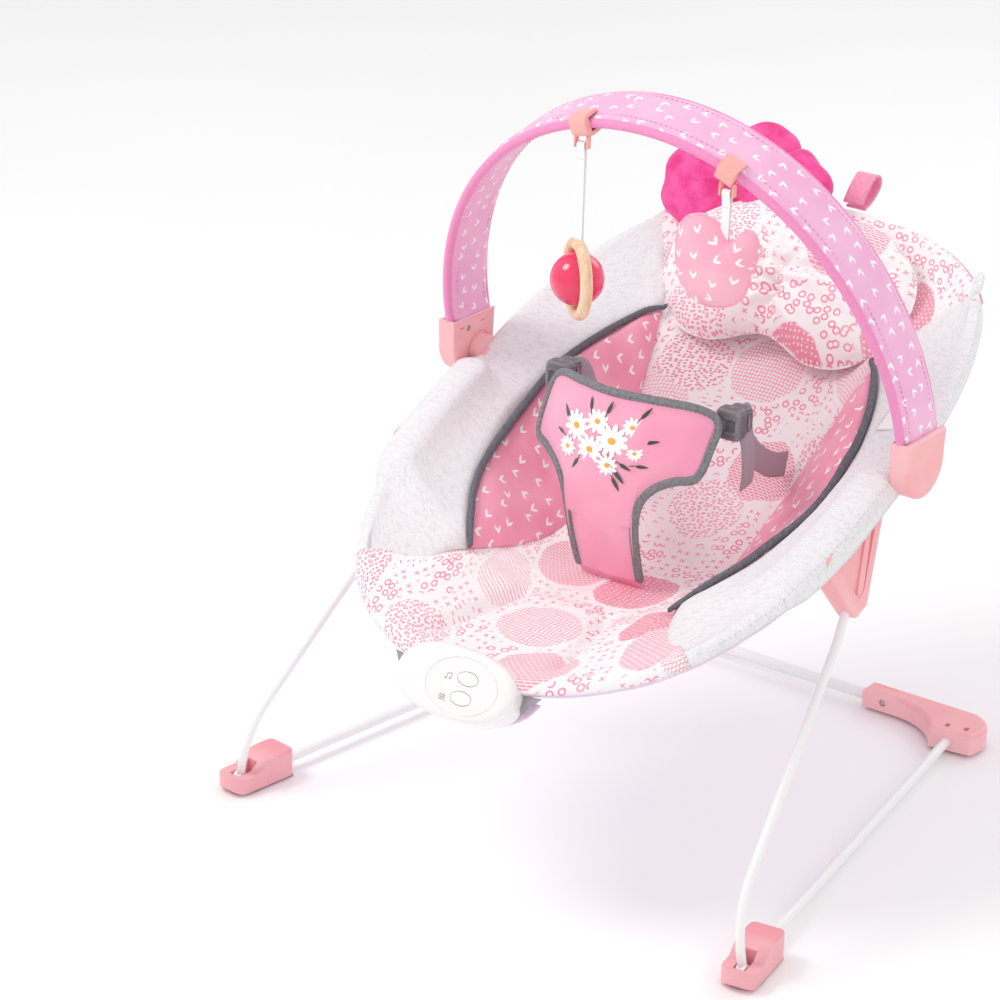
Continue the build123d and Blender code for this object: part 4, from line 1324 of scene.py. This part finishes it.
def build_sleeve():
    count, points, lay, along, last = 181, [], [], 0.0, None
    section = [(-0.5 + k / 14, 0.5) for k in range(15)] + [(0.5 - k / 14, -0.5) for k in range(15)]
    sides = len(section)
    frames, fronts, backs = [], [], []
    for i in range(count):
        angle = math.radians(-91.5 + 183 * i / (count - 1))
        centre, wide, out = arch_point(angle)
        if last is not None:
            along += (centre - last).length
        last = centre
        bottom = ease((abs(angle) - 1.45) / 0.15)
        for u, v in section:
            bulge = 1 - (2 * abs(u)) ** 6
            high = (0.30 + 0.70 * bulge) * BAND_THICK * v
            high += noise.noise(Vector((along * 0.035, u * 3.0, 2.0 + v))) * 0.9
            high += 0.5 * math.sin(along * 0.42 + 2.5 * math.sin(u * 5)) * bottom
            points.append(tuple(centre + wide * (u * (BAND_WIDE - 2)) + out * high))
            lay.append((u * BAND_WIDE * (1 if v > 0 else -1), along))
        fronts.append(centre - wide * (BAND_WIDE / 2 - 2.5))
        backs.append(centre + wide * (BAND_WIDE / 2 - 2.5))
        frames.append((centre, wide, out))
    faces = grid_faces(count, sides, wrap=True)
    faces.append(tuple(range(sides)))
    faces.append(tuple((count - 1) * sides + k for k in range(sides))[::-1])
    sleeve = piece("bar_sleeve_cover", points, faces, "sleeve_fabric", "toy_bar", ("bar_sleeve",), lay)
    tube("bar_front_piping", fronts, 3.7, "pink_edge", "toy_bar", sides=12)
    tube("bar_back_piping", backs, 2.8, "pink_edge", "toy_bar", sides=12)
    for name, share in (("front", -1), ("back", 1)):
        for face in (1, -1):
            path, ups = [], []
            for centre, wide, out in frames[4:-4]:
                seam = centre + wide * (share * (BAND_WIDE / 2 - 9.5))
                path.append(seam + out * (face * BAND_THICK * 0.46))
                ups.append(out * face)
            word = f"bar_{name}_stitch_{'outer' if face > 0 else 'inner'}"
            stitches(word, path, ups, "pink_edge", "toy_bar", 4.4, 2.9, 0.45, 0.35)
    return sleeve


def hang_point(x):
    angle = math.asin(x / (ARCH_HALF - BAND_THICK / 2))
    centre, wide, _ = arch_point(angle)
    p = centre - wide * (BAND_WIDE / 2)
    return Vector((p.x, p.y, p.z - 15.0))


def build_ribbons():
    toys = (("ring_ribbon", "ring_toy", RING_X, 450.0), ("heart_ribbon", "heart_toy", HEART_X, 482.0))
    for name, body, x, low in toys:
        spot = hang_point(x)
        loop = [(0, 2.2, -0.5), (0, 1.4, 1.9), (0, -1.4, 1.9), (0, -2.2, -0.5)]
        front = [(0, -1.0, -8)] + [(0, -0.9, -8 - (spot.z - 8 - low) * k / 4) for k in range(1, 5)]
        back = [(0, 0.9, low - spot.z)] + [(0, 0.9, (low - spot.z) * (1 - k / 4)) for k in range(1, 4)]
        path = smooth_path([spot + Vector(p) for p in back[:-1] + [(0, 1.6, -6)] + loop + front], 90)
        ribbon_strip(name + "_tape", path, 7.0, 0.8, (1, 0, 0), "satin_ribbon", body, (name,))
        stitch = [spot + Vector((-3.2 + 6.4 * k / 8, -1.7, -11)) for k in range(9)]
        stitches(name + "_stitch", stitch, (0, -1, 0), "pale_thread", body, 1.8, 1.2, 0.2, 0.2)


def heart_outline():
    shape = [
        (14.4, 18.4), (19.7, 25.9), (25.7, 29.1), (31.8, 25.4), (34.4, 14.7), (31.8, 1.8),
        (29.2, -9.6), (25.7, -19.7), (18.8, -28.4), (8.3, -33.5), (-2.1, -35.6), (-12.5, -34.6),
        (-23.0, -29.8), (-30.8, -19.8), (-34.3, -7.0), (-35.1, 8.0), (-33.4, 19.1), (-27.3, 27.2),
        (-17.7, 31.3), (-9.0, 31.8), (-1.2, 28.6), (4.9, 21.9), (9.7, 17.4),
    ]
    return smooth_path([(x, 0, z) for x, z in shape], 120, True)


def build_heart():
    spot = hang_point(HEART_X)
    centre = Vector((spot.x - 6, spot.y, 466.0))
    turn = Matrix.Rotation(math.radians(2), 3, "Y")
    outline = heart_outline()
    middle = Vector((0, 0, -2))
    rings, around = 22, len(outline)
    for layer, word, material in ((-1, "front", "heart_fabric"), (1, "back", "fuzzy_grey")):
        points, lay = [], []
        for r in range(rings + 1):
            share = (r + 0.4) / (rings + 0.4)
            for p in outline:
                q = middle + (p - middle) * share
                deep = 12.5 * max(0.0, 1 - share ** 2.4) ** 0.6
                tuck = math.exp(-(((q.x - 11) / 6) ** 2)) * ease(q.z / 16) * 5
                deep = max(deep - tuck * (1 - share), 0.0)
                deep += noise.noise(Vector((q.x * 0.07, q.z * 0.07, layer))) * 1.2 * (1 - share)
                points.append(tuple(centre + turn @ Vector((q.x, layer * deep, q.z))))
                lay.append((q.x, q.z))
        nodes = ("heart_plush",) if layer < 0 else ()
        heart = piece(f"heart_{word}", points, disc_faces(rings, around), material, "heart_toy", nodes, lay)
    seam = [centre + turn @ Vector((p.x * 1.01, 0, p.z * 1.01)) for p in outline]
    tube("heart_seam", seam, 1.0, "heart_fabric", "heart_toy", sides=8, closed=True)


def screw(name, centre, out, radius, body):
    """A countersunk cross-head screw."""
    out = Vector(out).normalized()
    side = out.orthogonal().normalized()
    up = out.cross(side)
    points, faces = [], []
    rings = ((0.0, -0.7), (0.30, -0.7), (0.36, 0.05), (0.75, 0.1), (0.94, -0.1), (1.0, -0.8))
    count = 32
    for r, z in rings:
        for k in range(count):
            a = 2 * math.pi * k / count
            reach = r * radius
            if 0 < r < 0.5:
                reach *= 1.5 if k % 8 in (0, 1, 7) else 0.55
            points.append(tuple(Vector(centre) + (side * math.cos(a) + up * math.sin(a)) * reach + out * z))
    faces = grid_faces(len(rings), count, wrap=True)
    return piece(name, points, faces, "steel_pin", body)


def build_screws():
    for side, word in ((1, "right"), (-1, "left")):
        screw("hub_screw_" + word, (side * 201.2, 6, 329), (-side, 0, 0), 2.4, "toy_bar")
        screw("elbow_screw_" + word, (side * 99, 198.2, 11), (0, -1, 0), 3.0, "base")


# ================================================================ finishes of the CAD nodes
NODE_FINISH = {
    "white_steel": ("rear_bar", "floor_rod", "upright_rod", "seat_tube_lower", "seat_tube_upper"),
    "pink_plastic": ("rear_elbow", "side_bracket", "hub_inner", "hub_outer"),
    "foot_plastic": ("front_foot",),
    # The rear pads' dark rubber is partly real and partly painted shade under the elbows.
    "dark_rubber": ("foot_sole", "rear_pad"),
    "steel_pin": ("pivot_pin", "vibration_motor", "motor_weight"),
    "grey_buckle": ("buckle_plug", "buckle_socket"),
    "clip_plastic": ("toy_clip",),
    "core_plastic": ("bar_core",),
    "white_plastic": ("unit_front_cover", "unit_back_cover", "battery_door", "button_music",
                      "button_vibration"),
    "board": ("circuit_board",),
    "pale_wood": ("wood_ring",),
    "cord": ("ball_cord",),
    "ball_plastic": ("toy_ball",),
}


def finish_nodes():
    for finish, stems in NODE_FINISH.items():
        for stem in stems:
            for name in (stem, stem + "_left", stem + "_right"):
                node = bpy.data.objects.get(name)
                if node is None:
                    continue
                if not node.material_slots:
                    node.data.materials.append(M[finish])
                for held in node.material_slots:
                    held.material = M[finish]


# ================================================================ camera, light and floor
def build_camera():
    data = bpy.data.cameras.new("view")
    data.lens, data.sensor_width = 117.05, 36.0
    data.clip_start, data.clip_end = 0.05, 60.0
    camera = bpy.data.objects.new("view", data)
    turn = Matrix((
        (0.80742, -0.24898, 0.53485),
        (0.58942, 0.30136, -0.74951),
        (0.02542, 0.92042, 0.39008),
    ))
    camera.matrix_world = Matrix.Translation((1.2590, -1.9894, 1.2262)) @ turn.to_4x4()
    bpy.context.scene.collection.objects.link(camera)
    bpy.context.scene.camera = camera


def area_light(name, position, size, power, tone=(1, 1, 1)):
    data = bpy.data.lights.new(name, "AREA")
    data.shape, data.size, data.energy, data.color = "DISK", size, power, tone
    lamp = bpy.data.objects.new(name, data)
    lamp.location = position
    aim = Vector((0, 0, 0.25)) - Vector(position)
    lamp.rotation_euler = aim.to_track_quat("-Z", "Y").to_euler()
    bpy.context.scene.collection.objects.link(lamp)


def build_stage():
    mesh = bpy.data.meshes.new("studio_floor")
    size = 9.0
    corners = [(-size, -size, 0), (size, -size, 0), (size, size, 0), (-size, size, 0)]
    mesh.from_pydata(corners, [], [(0, 1, 2, 3)])
    floor = bpy.data.objects.new("studio_floor", mesh)
    bpy.context.scene.collection.objects.link(floor)
    g = Graph("studio_floor", 0.6)
    soft = g.noise(g.place(), 1.5, 2.0)
    mesh.materials.append(g.finish(g.mix(soft, "#FAF9F9", "#FFFFFF")))
    floor.location.z = -0.0005
    world = bpy.data.worlds.new("studio")
    bpy.context.scene.world = world
    world.use_nodes = True
    back = world.node_tree.nodes["Background"]
    back.inputs[0].default_value = (1.0, 1.0, 1.0, 1.0)
    back.inputs[1].default_value = 0.80
    bpy.context.scene.view_settings.view_transform = "Standard"
    bpy.context.scene.view_settings.look = "None"
    area_light("key", (-1.4, -1.2, 2.3), 1.1, 24)
    area_light("fill", (2.4, -1.2, 1.6), 1.8, 8)
    area_light("rim", (0.4, 2.4, 1.8), 1.6, 10)


build_camera()
build_stage()
finish_nodes()
build_pad()
for side_sign, side_word in ((1, "right"), (-1, "left")):
    build_side_panel(side_sign, side_word)
    build_wing(side_sign, side_word)
    build_straps(side_sign, side_word)
build_hem()
build_back()
build_unit_details()
build_flap()
build_pillow()
build_flower()
build_loop()
build_label()
build_restraint()
build_daisies()
build_bracket_loops()
build_buckles()
build_sleeve()
build_ribbons()
build_heart()
build_screws()
